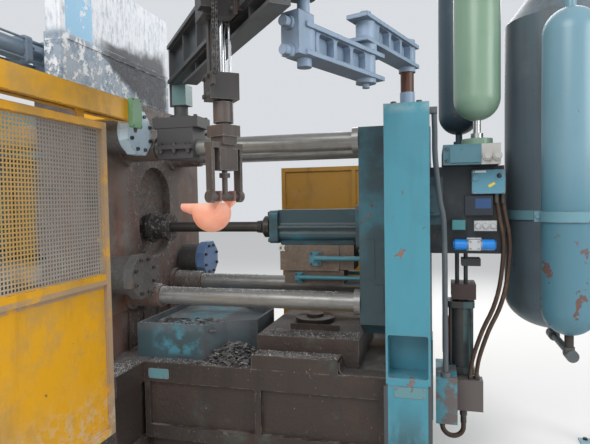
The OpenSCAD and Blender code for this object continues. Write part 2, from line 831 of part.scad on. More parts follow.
module inner_arm() {
  top = inner_arm_z + arm_h;
  x = column_pivot[0];
  y = column_pivot[1];
  collar_bore = arm_pin_d + 6;
  color(arm_blue) {
    arm_between(column_pivot, elbow, inner_arm_z);
    difference() {
      bar_z(outer_arm_z + arm_h, inner_arm_z + 1, elbow[0], elbow[1], 110);
      bar_z(outer_arm_z, inner_arm_z + 2, elbow[0], elbow[1], collar_bore);
    }
  }
  color("#7c5a48") {
    bar_z(column_top, 2217, x, y, 110);
    bar_z(2216, 2281, x, y, 84);
    bar_z(2280, 2396, x, y, 76);
    bar_z(2395, inner_arm_z + 1, x, y, 95);
    bar_z(inner_arm_z - 10, top + 30, x, y, arm_pin_d);
    bar_z(top, top + 24, x, y, 90);
  }
}

module outer_arm() {
  p = boom_pivot;
  turn = atan2(elbow[1] - p[1], elbow[0] - p[0]);
  color(arm_blue) {
    arm_between(p, elbow, outer_arm_z);
    translate([p[0], p[1], outer_arm_z]) rotate([0, 0, turn]) {
      difference() {
        block(-95, 10, -45, 45, -2, 171);
        bar_z(-3, 172, 0, 0, arm_pin_d + 2 * snug);
      }
      for (z = [10, 122]) {
        bar_x(-142, -94, 0, z, 42);
        bar_x(-112, -94, 0, z, 56);
      }
    }
    bar_z(outer_arm_z - 22, outer_arm_z + 1, elbow[0], elbow[1], 100);
    bar_z(outer_arm_z - 43, outer_arm_z - 21, elbow[0], elbow[1], 36);
    bar_z(2220, outer_arm_z - 1, p[0], p[1], 62);
  }
  color(steel) {
    bar_z(outer_arm_z - 5, boom_z + 320, p[0], p[1], arm_pin_d - 1);
    bar_z(outer_arm_z - 5, inner_arm_z + arm_h + 30, elbow[0], elbow[1], arm_pin_d);
  }
}

module ladle_carriage() {
  slot = 12;
  plate_v = -82;
  color(dark) at_boom(ladle_at) {
    difference() {
      union() {
        for (s = [-1, 1], z = [rail_low_z, rail_high_z])
          block(min(s * 40, s * 100), max(s * 40, s * 100), plate_v + 2, -42, z - 14, z + beam_rail_h + 14);
        block(-110, 110, plate_v, -68, body_z0, boom_z + boom_h);
        block(-62, 62, -200, plate_v + 1, body_z0, body_z0 + 128);
      }
      for (z = [rail_low_z, rail_high_z])
        block(-111, 111, -58 - loose, -37, z - loose, z + beam_rail_h + loose);
      block(-slot, slot, plate_v - 1, -37, body_z0 - 1, boom_z + boom_h + 1);
      bar_z(body_z0 - 1, body_z0 + 129, 0, mast_v, lift_rod_d + 2 * loose);
      bar_z(body_z0 - 1, body_z0 + 129, 0, mast_v + side_rod_v, side_rod_d + 2 * loose);
    }
    block(-6, 6, mast_v - 50, mast_v - 18, guide_z1 - 1, body_z0 + 1);
    bar_z(guide_z1 - 1, body_z0 + 1, 0, mast_v - 59, 15);
    difference() {
      block(-50, 50, mast_v - 70, mast_v + 58, guide_z0, guide_z1);
      bar_z(guide_z0 - 1, guide_z1 + 1, 0, mast_v, lift_rod_d + 2 * loose);
      bar_z(guide_z0 - 1, guide_z1 + 1, 0, mast_v + side_rod_v, side_rod_d + 2 * loose);
    }
    bar_z(body_z0 + 127, body_z0 + 368, 0, -178, 96);
    bar_z(body_z0 + 367, body_z0 + 390, 0, -178, 80);
    block(30, 92, mast_v - 70, mast_v - 58, guide_z1 - 60, guide_z1 - 10);
    block(30, 92, -215, -160, body_z0 + 20, body_z0 + 100);
  }
}

// A closed loop of chain round two wheels, one above the other, between v0 and v1
module chain_loop(z0, z1, r, thick, v0, v1) {
  translate([0, v1, 0]) rotate([90, 0, 0]) linear_extrude(v1 - v0) difference() {
    union() {
      translate([-r - thick, z0]) square([2 * (r + thick), z1 - z0]);
      for (z = [z0, z1]) translate([0, z]) circle(r + thick);
    }
    translate([-r, z0]) square([2 * r, z1 - z0]);
    for (z = [z0, z1]) translate([0, z]) circle(r);
  }
}

module lift_chain() {
  color("#3a3a38") at_boom(ladle_at + 92 + 30)
    chain_loop(guide_z1 + 2, boom_z + boom_h + 240, 22, 8, mast_v - 70, mast_v - 58);
}

module ladle_mast() {
  neck_z1 = 1992;
  color("#4a4744") at_ladle() {
    bar_z(neck_z1 + 11, mast_top, 0, 0, 86);
    block(-50, 50, -50, 50, 1943, neck_z1);
    bar_z(neck_z1 - 1, neck_z1 + 12, 0, 0, 60);
    block(-39, 39, -39, 39, fork_z1 - 10, 1944);
    block(-26, 26, -88, 88, fork_z1 - 24, fork_z1);
    for (s = [-1, 1]) {
      block(-20, 20, s * 81 - 7, s * 81 + 7, tilt_z - 22, fork_z1 - 23);
      bar_y(s * 81 - 13, s * 81 + 13, 0, tilt_z, 52);
    }
    block(-30, 30, -52, 52, 1801, fork_z1 - 23);
    bar_z(tilt_z + 60, 1802, 0, 0, 24);
    bar_z(1770, 1790, 0, 0, 46);
    bar_y(-88, 88, 0, tilt_z, tilt_d);
    bar_z(tilt_z, tilt_z + 61, 0, 0, 24);
  }
  color(steel) at_boom(ladle_at) {
    bar_z(mast_top - 1, mast_rod_z1, 0, mast_v, lift_rod_d);
    bar_z(mast_top - 1, mast_rod_z1 - 60, 0, mast_v + side_rod_v, side_rod_d);
    bar_z(mast_rod_z1 - 14, mast_rod_z1, 0, mast_v, lift_rod_d + 12);
  }
}

module ladle_cup() {
  inner_d = cup_d - 2 * cup_wall;
  cut = [-400, 200, -200, 200, cup_z + cup_rim, cup_z + 200];
  lever_y = 41;
  color("#f0926a") at_ladle() difference() {
    union() {
      difference() {
        union() {
          translate([-cup_out, 0, cup_z]) sphere(d = cup_d);
          hull() {
            translate([-130, 0, cup_z + 20]) sphere(d = 96, $fn = 32);
            translate([-262, 0, cup_z + 28]) sphere(d = 50, $fn = 32);
          }
        }
        block(cut[0], cut[1], cut[2], cut[3], cut[4], cut[5]);
      }
      for (s = [-1, 1]) along_y(s * lever_y - 5, s * lever_y + 5) polygon([
        [-64, cup_z + 8], [-30, cup_z + 8], [20, tilt_z - 24], [20, tilt_z + 24], [-14, tilt_z + 24],
        [-64, cup_z + 60]
      ]);
    }
    bar_y(-90, 90, 0, tilt_z, tilt_d + 2 * loose);
    translate([-cup_out, 0, cup_z]) sphere(d = inner_d);
    hull() {
      translate([-130, 0, cup_z + 20]) sphere(d = 96 - 16, $fn = 32);
      translate([-262, 0, cup_z + 28]) sphere(d = 50 - 14, $fn = 32);
    }
  }
}

module guard_rail() {
  y0 = -rail_reach + 40;
  color(yellow) {
    difference() {
      block(door_x - rail_half, door_x + rail_half, y0, rail_y1, rail_z, rail_z + rail_h);
      block(door_x - rail_half + rail_sheet, door_x + rail_half - rail_sheet, y0 - 1, rail_y1 + 1,
        rail_z + rail_sheet, rail_z + rail_h - rail_sheet);
      block(door_x - 15, door_x + 15, y0 + 90, rail_y1 + 1, rail_z - 1, rail_z + rail_sheet + 1);
    }
    block(door_x - 40, door_x + 40, y0, y0 + 80, 12, rail_z + 1);
    block(door_x - 120, door_x + 120, y0 - 40, y0 + 120, 0, 12);
    for (s = [-1, 1]) translate([door_x, y0 + 40 + s * 40, 12]) rotate([90, 0, 90])
      linear_extrude(10, center = true) polygon([[0, 0], [s * 38, 0], [0, 120]]);
    block(0, door_x - rail_half + 1, rail_y1 + 3, -740, rail_z + 20, rail_z + 100);
    block(0, 14, rail_y1 + 3, -700, rail_z - 20, rail_z + 140);
    block(door_x - rail_half, door_x + rail_half, rail_y1 - 1, -740, rail_z, rail_z + rail_h);
  }
}

module guard_door() {
  y0 = door_y1 - door_w;
  top = door_z0 + door_h;
  half = door_tube / 2;
  color(yellow) {
    difference() {
      block(door_x - half, door_x + half, y0, door_y1, door_z0, top);
      block(door_x - door_tube, door_x + door_tube, y0 + door_tube, door_y1 - door_tube,
        door_z0 + door_tube, door_mid_z);
      block(door_x - door_tube, door_x + door_tube, y0 + door_tube, door_y1 - door_tube,
        door_mid_z + 62, top - door_tube);
    }
    block(door_x - 2, door_x + 2, y0 + door_tube - 1, door_y1 - door_tube + 1, door_z0 + door_tube - 1,
      door_mid_z + 1);
    for (y = [door_y1 - 200, y0 + 200]) {
      block(door_x - 6, door_x + 6, y - 30, y + 30, top - 1, rail_z + 40);
      bar_x(door_x - 30, door_x + 30, y, rail_z + rail_sheet + loose + 25, 50);
    }
    for (z = [door_mid_z - 260, door_mid_z + 240]) block(door_x - half - 14, door_x - half + 1, door_y1 - 44,
      door_y1 - 8, z, z + 20);
  }
}

module guard_mesh() {
  color(yellow) block(door_x - 2, door_x + 2, door_y1 - door_w + door_tube, door_y1 - door_tube,
    door_mid_z + 62, door_z0 + door_h - door_tube);
}

module rear_guard() {
  x0 = 652;
  y0 = rear_reach - 40;
  color(yellow) {
    for (i = [0 : 2]) {
      x = x0 + i * bay_w;
      foot_y0 = x + 20 > column_x - 12 ? 649 : bed_half - 60;
      block(x - 20, x + 20, y0, rear_reach, 0, rear_z1);
      block(x - 20, x + 20, foot_y0, y0 + 1, 0, 40);
      translate([x, y0, 40]) rotate([90, 0, 90]) linear_extrude(8, center = true)
        polygon([[1, -1], [1, 160], [-120, -1]]);
    }
    for (z = [120, rear_z1 - 40]) block(x0, x0 + 2 * bay_w, y0, rear_reach, z, z + 40);
    block(x0, x0 + 2 * bay_w, y0 + 18, y0 + 22, 159, rear_z1 - 39);
  }
}

// A gas accumulator from its flange at z0, with a neck, domes and a long shell
module accumulator(z0, dome_z, top) {
  d = accumulator_d;
  bar_z(z0, z0 + 40, 0, 0, 180);
  bar_z(z0 + 39, dome_z + 12, 0, 0, 45);
  bar_z(z0 + 39, z0 + 74, 0, 0, 72);
  bar_z(dome_z + d / 2, top - d / 2, 0, 0, d);
  for (z = [dome_z + d / 2, top - d / 2]) translate([0, 0, z]) sphere(d = d);
}

module green_accumulator() {
  color("#86ab8d") translate([2350, -240, 0]) accumulator(1979, 2129, 3180);
}

module dark_accumulator() {
  color("#2f4450") translate([2265, 200, 0]) accumulator(1979, 2100, 3180);
}

module shot_valve_block() {
  color(dark) {
    block(yoke_x1, 2318, -200, 330, 1320, 1860);
    block(2317, valve_x1, -200, 330, 1320, 1860);
    block(2150, 2470, -390, 340, 1859, 1979);
    block(2189, 2362, -400, -389, 1872, 1966);
    for (x = [2395, 2450]) {
      bar_y(-412, -389, x, 1906, 52);
      bar_y(-424, -411, x, 1906, 34);
    }
    block(2040, 2140, -262, -199, 1560, 1740);
    for (z = [1600, 1700]) bar_y(-276, -261, 2090, z, 40);
  }
}

module terminal_box() {
  color(teal) {
    along_y(-258, -200) translate([2414, 1760.5]) rounded(192, 147, 10);
    along_y(-264, -257) translate([2414, 1760.5]) rounded(186, 141, 8);
    block(2280, 2440, -246, -200, 1559, 1677);
    bar_y(-276, -263, 2340, 1786, 38);
  }
}

module solenoid_valves() {
  y = -262;
  color("#1f86d0") {
    for (x = [2208, 2366]) {
      bar_x(x + 8, x + 82, y, 1380, 66);
      bar_x(x, x + 9, y, 1380, 50);
      bar_x(x + 81, x + 90, y, 1380, 50);
    }
  }
  color("#b9bdbf") {
    block(2297, 2367, y - 33, -200, 1347, 1413);
    block(2290, 2376, -230, -200, 1340, 1420);
    block(2331, 2461, -262, -200, 1463, 1526);
    for (x = [2352, 2396, 2440]) bar_y(-276, -261, x, 1494, 30);
  }
  color(teal) block(2203, 2281, -262, -200, 1470, 1531);
}

module lock_cylinder() {
  x = 2257;
  y = -130;
  color("#3c4a4e") {
    bar_z(598, 1017, x, y, 142);
    for (z = [558, 977]) translate([x, y, z]) linear_extrude(40) rounded(164, 164, 30);
    block(2200, 2345, y - 95, y + 95, 1035, 1130);
    bar_z(1016, 1036, x, y, 90);
    for (dx = [-22, 30]) bar_z(1129, 1320 - loose, x + dx, y - 30, 26);
    block(2262, 2375, y - 60, y + 60, 1240, 1285);
  }
  color(steel) for (dx = [-64, 64], dy = [-64, 64]) bar_z(597, 978, x + dx, y + dy, 18);
  color(teal) block(2101, 2224, -450, -80, 332, 610);
  color(grey) {
    block(2223, 2380, -290, -200, 358, 549);
    block(2223, 2330, -201, -80, 380, 559);
  }
  color("#a33b30") {
    block(2144, 2200, -160, -100, 679, 906);
    block(2160, 2196, -140, -120, 609, 680);
  }
}

module front_bottle() {
  d = front_bottle_d;
  color(teal) translate([front_bottle_at[0], front_bottle_at[1], 0]) {
    bar_z(1010, 2585, 0, 0, d);
    for (z = [1010, 2585]) translate([0, 0, z]) sphere(d = d);
    bar_z(front_neck_z, 870, 0, 0, 50);
    bar_z(2725, 2800, 0, 0, 60);
  }
}

module rear_bottle() {
  d = rear_bottle_d;
  bottom = 1010;
  shoulder = 2793;
  color("#3f5f6b") translate([rear_bottle_at[0], rear_bottle_at[1], 0]) {
    bar_z(bottom, shoulder, 0, 0, d);
    translate([0, 0, bottom]) scale([1, 1, 0.7]) sphere(d = d);
    translate([0, 0, shoulder - 1]) cylinder(d1 = d, d2 = 360, h = 170);
    translate([0, 0, shoulder + 168]) cylinder(d1 = 360, d2 = 120, h = 98);
    bar_z(shoulder + 265, shoulder + 330, 0, 0, 120);
    bar_z(rear_neck_z, 810, 0, 0, 60);
  }
}

// A band clamp round a bottle, with its arm back to the stand
module band(at, d, z) {
  band_h = 60;
  difference() {
    union() {
      bar_z(z, z + band_h, at[0], at[1], d + 24);
      block(at[0] + d / 2 - 20, stand_x0 + 1, at[1] - 40, at[1] + 40, z, z + band_h);
      block(at[0] - d / 2 - 40, at[0] - d / 2, at[1] - 12, at[1] + 12, z, z + band_h);
    }
    bar_z(z - 1, z + band_h + 1, at[0], at[1], d + 2 * snug);
  }
  bar_y(at[1] - 34, at[1] + 34, at[0] - d / 2 - 26, z + band_h / 2, 18);
}

module bottle_stand() {
  post = 80;
  post_w = 60;
  band_z = 1520;
  post_y = [for (at = [front_bottle_at, rear_bottle_at]) at[1] - post / 2];
  color("#6b7f78") {
    for (y = post_y) {
      block(stand_x0, stand_x0 + post_w, y, y + post, 12, band_z + 120);
      block(stand_x0 - 160, stand_x0 + 220, y - 60, y + post + 60, 0, 12);
      translate([stand_x0 + post_w, y + post / 2, 12]) rotate([90, 0, 0]) linear_extrude(10, center = true)
        polygon([[-1, -1], [150, -1], [-1, 260]]);
    }
    for (z = [640, band_z]) block(stand_x0, stand_x0 + post_w, post_y[0], post_y[1] + post, z, z + 60);
    band(front_bottle_at, front_bottle_d, band_z);
    band(rear_bottle_at, rear_bottle_d, band_z);
  }
}

module pipe_runs() {
  gas_z = 1450;
  gas_x1 = rear_bottle_at[0] - rear_bottle_d / 2 - loose;
  color("#5f686c") {
    block(2075, 2118, -455, -405, 2160, column_top);
    tube(curve([[2100, -430, 2161], [2103, -430, 2050], [2105, -430, 1900], [2130, -430, 1656],
      [2150, -430, 1544], [2156, -430, 1300], [2156, -430, 1067], [2158, -430, 800], [2158, -430, 620]], 3), 32, 12);
    bar_z(610 + loose, 640, 2158, -430, 60);
    bar_x(valve_x1, gas_x1, rear_bottle_at[1], gas_z, 60);
    for (x = [valve_x1, gas_x1 - 22]) bar_x(x, x + 22, rear_bottle_at[1], gas_z, 110);
    bar_y(front_bottle_at[1], rear_bottle_at[1], 2860, 745, 44);
    for (at = [front_bottle_at, rear_bottle_at]) bar_y(at[1] - 45, at[1] + 45, 2860, 745, 70);
    bar_z(745, front_neck_z, front_bottle_at[0], front_bottle_at[1], 62);
    bar_z(745, rear_neck_z, rear_bottle_at[0], rear_bottle_at[1], 62);
  }
}

module hose_runs() {
  d = 22;
  color("#4a3527") {
    for (dx = [0, 36], y = [-216, -244])
      tube(curve([[2462 + dx, y, 1687 - 3 * loose], [2470 + dx, y, 1600], [2500 + dx, y, 1420], [2498 + dx, y, 1286],
        [2478 + dx, y - 2, 1120], [2440 + dx, y - 4, 984], [2380 + dx, y - 8, 850], [2330 + dx, y - 11, 700],
        [2312 + dx, y - 12, 610], [2310 + dx, y - 12, 549 + loose]], 3), d, 8);
    for (x = [2140, 2265]) bar_z(255, (x < 2200 ? 332 : 358) - loose, x, -280, 30);
    translate([2202.5, -280, 256]) rotate([-90, 0, 0]) rotate_extrude(angle = 180) translate([62.5, 0]) circle(d = 30);
  }
}

clamp_bed();
platen_base();
shot_bed();
fixed_platen();
platen_hood();
tie_bars();
tie_bar_ends();
fixed_die();
moving_die();
moving_platen();
toggle_platen();
toggle_links();
closing_cylinder();
core_cylinder();
shot_bars();
shot_yoke();
front_column();
rear_column();
shot_cylinder();
shot_manifold();
plunger_rod();
shot_sleeve();
bed_riser();
drip_box();
chip_tray();
boom_post();
ladler_boom();
inner_arm();
outer_arm();
ladle_carriage();
lift_chain();
ladle_mast();
ladle_cup();
guard_rail();
guard_door();
guard_mesh();
rear_guard();
green_accumulator();
dark_accumulator();
shot_valve_block();
terminal_box();
solenoid_valves();
lock_cylinder();
front_bottle();
rear_bottle();
bottle_stand();
pipe_runs();
hose_runs();
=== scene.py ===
import math
import random

import bpy
from mathutils import Matrix, Vector


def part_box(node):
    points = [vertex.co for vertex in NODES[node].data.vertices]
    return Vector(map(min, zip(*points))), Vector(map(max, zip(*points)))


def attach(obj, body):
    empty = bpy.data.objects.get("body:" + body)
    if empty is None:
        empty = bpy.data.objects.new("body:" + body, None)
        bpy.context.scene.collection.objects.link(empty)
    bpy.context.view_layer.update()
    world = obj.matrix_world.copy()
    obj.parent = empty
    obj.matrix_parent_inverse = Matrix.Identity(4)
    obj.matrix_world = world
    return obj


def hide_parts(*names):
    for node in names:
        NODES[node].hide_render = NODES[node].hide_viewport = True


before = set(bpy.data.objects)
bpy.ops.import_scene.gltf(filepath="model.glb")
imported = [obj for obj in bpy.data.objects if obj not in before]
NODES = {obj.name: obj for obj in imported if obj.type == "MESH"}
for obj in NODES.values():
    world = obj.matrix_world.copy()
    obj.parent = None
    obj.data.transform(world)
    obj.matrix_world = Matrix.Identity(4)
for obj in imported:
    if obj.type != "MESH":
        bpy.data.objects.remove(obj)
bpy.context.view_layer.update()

# The camera that the photograph's vanishing points give, its place in metres and its turns in degrees.
CAMERA_PLACE = (2.1, -3.59, 1.67)
CAMERA_YAW = 15.05
CAMERA_PITCH = 2.42
CAMERA_ROLL = -0.97
FOCAL_PIXELS = 520
PHOTO_WIDTH = 590

# Places on the machine, in metres. X runs from the clamp end to the shot end, Y away from the operator, Z up.
# Heights of the clamp's and the plunger's centre lines, the bed's top and the fixed platen's underside.
AXIS_Z = 1.655
SHOT_Z = 1.48
BED_TOP = 0.606
PLATEN_Z0 = 0.915
# The tie bars lie this far from the clamp's centre line, sideways and up or down.
TIE_Y = 0.532
TIE_DZ = 0.473
# The shot bars lie this far to both sides, one pair low and one high.
BAR_Y = 0.333
BAR_LOW_Z = 1.018
BAR_HIGH_Z = 2.035
# The front faces of the terminal box and of the solenoid valves.
TERMINAL_Y = -0.264
VALVE_Y = -0.295
# The boom turns about its post. The ladle hangs this far along it and to its side.
BOOM_AT = Vector((0.382, -0.317, 0))
BOOM_TURN = math.radians(-50.4)
LADLE_T = 1.457
MAST_V = -0.104
BOOM_ALONG = Vector((math.cos(BOOM_TURN), math.sin(BOOM_TURN), 0))
BOOM_SIDE = Vector((-math.sin(BOOM_TURN), math.cos(BOOM_TURN), 0))

TO_SHOT = (1, 0, 0)
TO_CLAMP = (-1, 0, 0)
TO_FRONT = (0, -1, 0)
TO_BACK = (0, 1, 0)
UP = (0, 0, 1)
DOWN = (0, 0, -1)
# A full turn in radians, for the random places of flash and crumbs.
FULL_TURN = 6.283

# Boxes round parts of a node that have a colour of their own, or a painted light on the lock cylinder's lit
# side, as x0, x1, y0, y1, z0, z1.
BOXES = {
    "upper manifold tubes": (1.15, 1.7, -0.3, -0.126, 1.05, 1.4),
    "lower manifold tubes": (1.15, 1.7, -0.3, -0.1008, 1.05, 1.179),
    "hood patch": (-0.3, -0.05, -0.83, -0.57, 2.722, 3.4),
    "door post": (0.2, 0.4, -1.0645, -1.02, 0.3, 2.2),
    "door rail": (0.2, 0.4, -2.4, -1.02, 1.19, 1.24),
    "near tie bar end": (0.15, 0.3, -0.9, -0.3, 1.9, 2.4),
    "far tie bar end": (0.15, 0.3, 0.3, 0.9, 0.9, 1.4),
    "left column web": (1.8, 1.838, -0.66, -0.3, -1, 0.62),
    "right column web": (2.06, 2.1, -0.66, -0.3, -1, 0.62),
    "manifold tag": (1.045, 1.095, -0.2, -0.1255, 1.3, 1.37),
    "boom clamp": (0.2, 0.7, -0.7, 0, 1.9, 2.319),
    "arm pin": (1.88, 2.02, -0.54, -0.4, 2.282, 2.3945),
    "accumulator neck": (2.2, 2.5, -0.4, -0.1, 2.0195, 2.13),
    "left valve head": (2.15, 2.3635, -0.5, -0.37, 1.86, 2),
    "right valve head": (2.3635, 2.5, -0.5, -0.37, 1.85, 1.9785),
    "valve block side": (2, 2.15, -0.3, -0.19, 1.5, 1.8),
    "dark box": (2.2, 2.6, -0.3, -0.1, 1.5, 1.6805),
    "dark box face": (2.34, 2.43, -0.3, -0.1, 1.6, 1.66),
    "terminal strip": (2.326, 2.4, -0.3, -0.262, 1.816, 1.828),
    "blue valve middle": (2.2905, 2.3755, -0.4, -0.1, 1.3, 1.45),
    "upper valve body": (2.3, 2.5, -0.4, -0.1, 1.455, 1.55),
    "upper valve end": (2.19, 2.29, -0.4, -0.1, 1.455, 1.55),
    # Painted light: the lock cylinder's lit side.
    "lock cylinder lit side": (2.27, 2.34, -0.3, 0, 0.56, 1.02),
    "lock cylinder head": (2.19, 2.35, -0.24, -0.03, 1.034, 1.131),
    "left lower block": (2, 2.2235, -0.5, -0.07, 0.3, 0.6105),
    "right lower block": (2.2235, 2.4, -0.3, -0.07, 0.35, 0.5575),
    "red tube": (2.13, 2.2001, -0.17, -0.09, 0.66, 0.91),
    "bottle valve": (2.8, 2.9, -0.35, -0.24, 0.7, 0.863),
}


def add_object(name, data):
    """A new object in the scene."""
    made = bpy.data.objects.new(name, data)
    bpy.context.scene.collection.objects.link(made)
    return made


def make_camera():
    """The camera stands where the photograph's vanishing points put it."""
    data = bpy.data.cameras.new("camera")
    data.sensor_width = 36
    data.lens = data.sensor_width * FOCAL_PIXELS / PHOTO_WIDTH
    data.clip_end = 100
    cam = add_object("camera", data)
    turn = (
        Matrix.Rotation(math.radians(CAMERA_YAW), 4, "Z")
        @ Matrix.Rotation(math.radians(90 - CAMERA_PITCH), 4, "X")
        @ Matrix.Rotation(math.radians(CAMERA_ROLL), 4, "Z")
    )
    cam.matrix_world = Matrix.Translation(CAMERA_PLACE) @ turn
    bpy.context.scene.camera = cam


def srgb(r, g, b):
    """A colour as a photograph shows it, 0 to 255, in the linear values that a shader takes."""
    return tuple(((c / 255 + 0.055) / 1.055) ** 2.4 if c > 10 else c / 3295 for c in (r, g, b)) + (1.0,)


class Look:
    """A procedural material that is laid on in coats, from the bare colour up."""

    def __init__(self, name, color, roughness=0.5, metallic=0.0):
        self.mat = bpy.data.materials.new(name)
        self.mat.use_nodes = True
        self.tree = self.mat.node_tree
        self.shader = self.tree.nodes["Principled BSDF"]
        self.shader.inputs["Metallic"].default_value = metallic
        coords = self.tree.nodes.new("ShaderNodeTexCoord")
        self.place = coords.outputs["Object"]
        self.parts = {}
        split = self.node("ShaderNodeSeparateXYZ", self.place)
        self.x, self.y, self.z = split.outputs
        normal = self.node("ShaderNodeSeparateXYZ", coords.outputs["Normal"])
        self.up = normal.outputs[2]
        self.color = color
        self.rough = roughness
        self.metal = metallic
        self.bump = None

    def node(self, kind, *values, **settings):
        """A new node, its first inputs given in order, each a number, a colour or a socket."""
        made = self.tree.nodes.new(kind)
        for key, value in settings.items():
            setattr(made, key, value)
        for slot, value in zip(made.inputs, values):
            self.put(slot, value)
        return made

    def put(self, slot, value):
        """An input gets a number, a colour or a socket, or stays as it is with None."""
        if isinstance(value, bpy.types.NodeSocket):
            self.tree.links.new(value, slot)
        elif value is not None:
            slot.default_value = value

    def noise(self, scale, detail=4.0, rough=0.55, stretch=(1, 1, 1), seed=0.0, distort=0.0):
        """Noise in the object's own metres, drawn out by stretch and moved by seed."""
        shift = (seed, seed * 0.7, seed * 1.3)
        moved = self.node("ShaderNodeMapping", self.place, shift, None, stretch)
        made = self.node("ShaderNodeTexNoise", moved.outputs[0])
        settings = {"Scale": scale, "Detail": detail, "Roughness": rough, "Distortion": distort}
        for key, value in settings.items():
            made.inputs[key].default_value = value
        return made.outputs[0]

    def band(self, value, low, high):
        """0 below low, 1 above high, and smooth between. Low may be the higher of the two."""
        ends = sorted((low, high)) + [float(low > high), float(low < high)]
        return self.node("ShaderNodeMapRange", value, *ends, interpolation_type="SMOOTHSTEP").outputs[0]

    def spots(self, between, *noise, **settings):
        """Spots of noise, 1 where it is above the second number of between and 0 below the first."""
        return self.band(self.noise(*noise, **settings), *between)

    def worn(self, between, *noise, **settings):
        """Spots that lie along the sharp edges only."""
        return self.times(self.edges(), self.spots(between, *noise, **settings))

    def math(self, operation, a, b):
        """An operation on two values or sockets."""
        return self.node("ShaderNodeMath", a, b, operation=operation).outputs[0]

    def times(self, *values):
        """All the values multiplied, so that a mask is 1 only where each of them is."""
        made = values[0]
        for value in values[1:]:
            made = self.math("MULTIPLY", made, value)
        return made

    def within(self, name, mirrored=False):
        """1 inside one of the named boxes, or its mirror image across the machine, and 0 outside it."""
        x0, x1, y0, y1, z0, z1 = BOXES[name]
        if mirrored:
            y0, y1 = -y1, -y0
        middle = ((x0 + x1) / 2, (y0 + y1) / 2, (z0 + z1) / 2)
        half = ((x1 - x0) / 2, (y1 - y0) / 2, (z1 - z0) / 2)
        away = self.node("ShaderNodeVectorMath", self.place, middle, operation="SUBTRACT").outputs[0]
        size = self.node("ShaderNodeVectorMath", away, operation="ABSOLUTE").outputs[0]
        past = self.node("ShaderNodeVectorMath", size, half, operation="SUBTRACT").outputs[0]
        x, y, z = self.node("ShaderNodeSeparateXYZ", past).outputs
        return self.math("LESS_THAN", self.math("MAXIMUM", self.math("MAXIMUM", x, y), z), 0.0)

    def edges(self, radius=0.008):
        """Where the surface turns sharply, as paint wears there first."""
        if "edges" not in self.parts:
            bevel = self.node("ShaderNodeBevel", radius, samples=4)
            true = self.node("ShaderNodeNewGeometry").outputs["True Normal"]
            same = self.node("ShaderNodeVectorMath", bevel.outputs[0], true, operation="DOT_PRODUCT")
            self.parts["edges"] = self.band(same.outputs["Value"], 0.995, 0.88)
            self.parts["round"] = bevel.outputs[0]
        return self.parts["edges"]

    def coat(self, color, mask, roughness=None, metallic=None, strength=1.0):
        """Another colour where the mask is 1, or where each one of several masks is."""
        if isinstance(mask, tuple):
            mask = self.times(*mask)
        if strength != 1.0:
            mask = self.math("MULTIPLY", mask, strength)
        self.color = self.blend(self.color, color, mask, "RGBA", 6, 2)
        if roughness is not None:
            self.rough = self.blend(self.rough, roughness, mask)
        if metallic is not None:
            self.metal = self.blend(self.metal, metallic, mask)

    def blend(self, a, b, mask, data_type="FLOAT", first_input=2, output=0):
        """a where the mask is 0, b where it is 1. The mix node keeps other sockets for each type."""
        made = self.node("ShaderNodeMix", mask, data_type=data_type)
        self.put(made.inputs[first_input], a)
        self.put(made.inputs[first_input + 1], b)
        return made.outputs[output]

    def raise_by(self, mask, height):
        """Relief: height in metres where the mask is 1."""
        made = self.node("ShaderNodeBump")
        made.inputs["Distance"].default_value = height
        self.put(made.inputs["Height"], mask)
        self.put(made.inputs["Normal"], self.bump)
        self.bump = made.outputs[0]

    def done(self):
        """The material, with all its coats joined to the shader."""
        self.put(self.shader.inputs["Base Color"], self.color)
        self.put(self.shader.inputs["Roughness"], self.rough)
        if isinstance(self.metal, bpy.types.NodeSocket):
            self.put(self.shader.inputs["Metallic"], self.metal)
        self.put(self.shader.inputs["Normal"], self.bump or self.parts.get("round"))
        return self.mat


RUST = srgb(118, 76, 60)
PRIMER = srgb(138, 106, 100)
SOOT = srgb(38, 35, 34)
DUST = srgb(158, 156, 152)
ALU = srgb(196, 198, 200)
TEAL = srgb(72, 146, 166)


def dusty(look, amount):
    """Metal dust that has settled on what faces up."""
    settled = look.spots((0.62 - amount * 0.4, 0.72), 9, 6, 0.7, seed=3)
    lies = look.times(look.band(look.up, 0.35, 0.85), settled)
    look.coat(DUST, lies, 0.85, 0.0, amount)
    look.coat(ALU, (lies, look.spots((0.6, 0.68), 160, 3, 0.7, seed=8)), 0.5, 0.5)


def paint(name, color, chips=0.25, grime=0.3, dust=0.4, rough=0.42, under=PRIMER, wear=0.7, scale=9):
    """Machine paint: clouded in tone, run with oil, chipped in spots and worn at its edges."""
    look = Look(name, color, rough)
    shade = tuple(c * 0.55 for c in color[:3]) + (1.0,)
    pale = tuple(c * 0.78 + 0.09 for c in color[:3]) + (1.0,)
    look.coat(shade, look.spots((0.48, 0.8), 1.7, 5, 0.6, seed=1), strength=0.55)
    look.coat(pale, look.spots((0.52, 0.78), 2.6, 6, 0.65, seed=5), rough + 0.15, strength=0.5)
    runs = look.spots((0.52, 0.74), 6, 5, 0.6, stretch=(1, 1, 0.14), seed=2)
    look.coat(srgb(74, 62, 52), runs, rough + 0.2, strength=grime)
    blots = look.spots((0.71 - chips * 0.13, 0.72 - chips * 0.13), scale, 9, 0.62, seed=11, distort=0.3)
    pits = look.spots((0.74 - chips * 0.1, 0.755 - chips * 0.1), scale * 5, 4, 0.6, seed=23)
    gone = look.math("MAXIMUM", blots, pits)
    rub = look.worn((0.42, 0.56), 16, 6, 0.7, seed=17)
    gone = look.math("MAXIMUM", gone, look.math("MULTIPLY", rub, wear))
    look.coat(under, gone, 0.8)
    look.coat(RUST, (gone, look.spots((0.5, 0.58), scale * 3, 5, 0.6, seed=31)), 0.85, strength=0.8)
    look.raise_by(gone, -0.0012)
    look.raise_by(look.noise(220, 3, 0.6), 0.0003)
    if dust:
        dusty(look, dust)
    return look


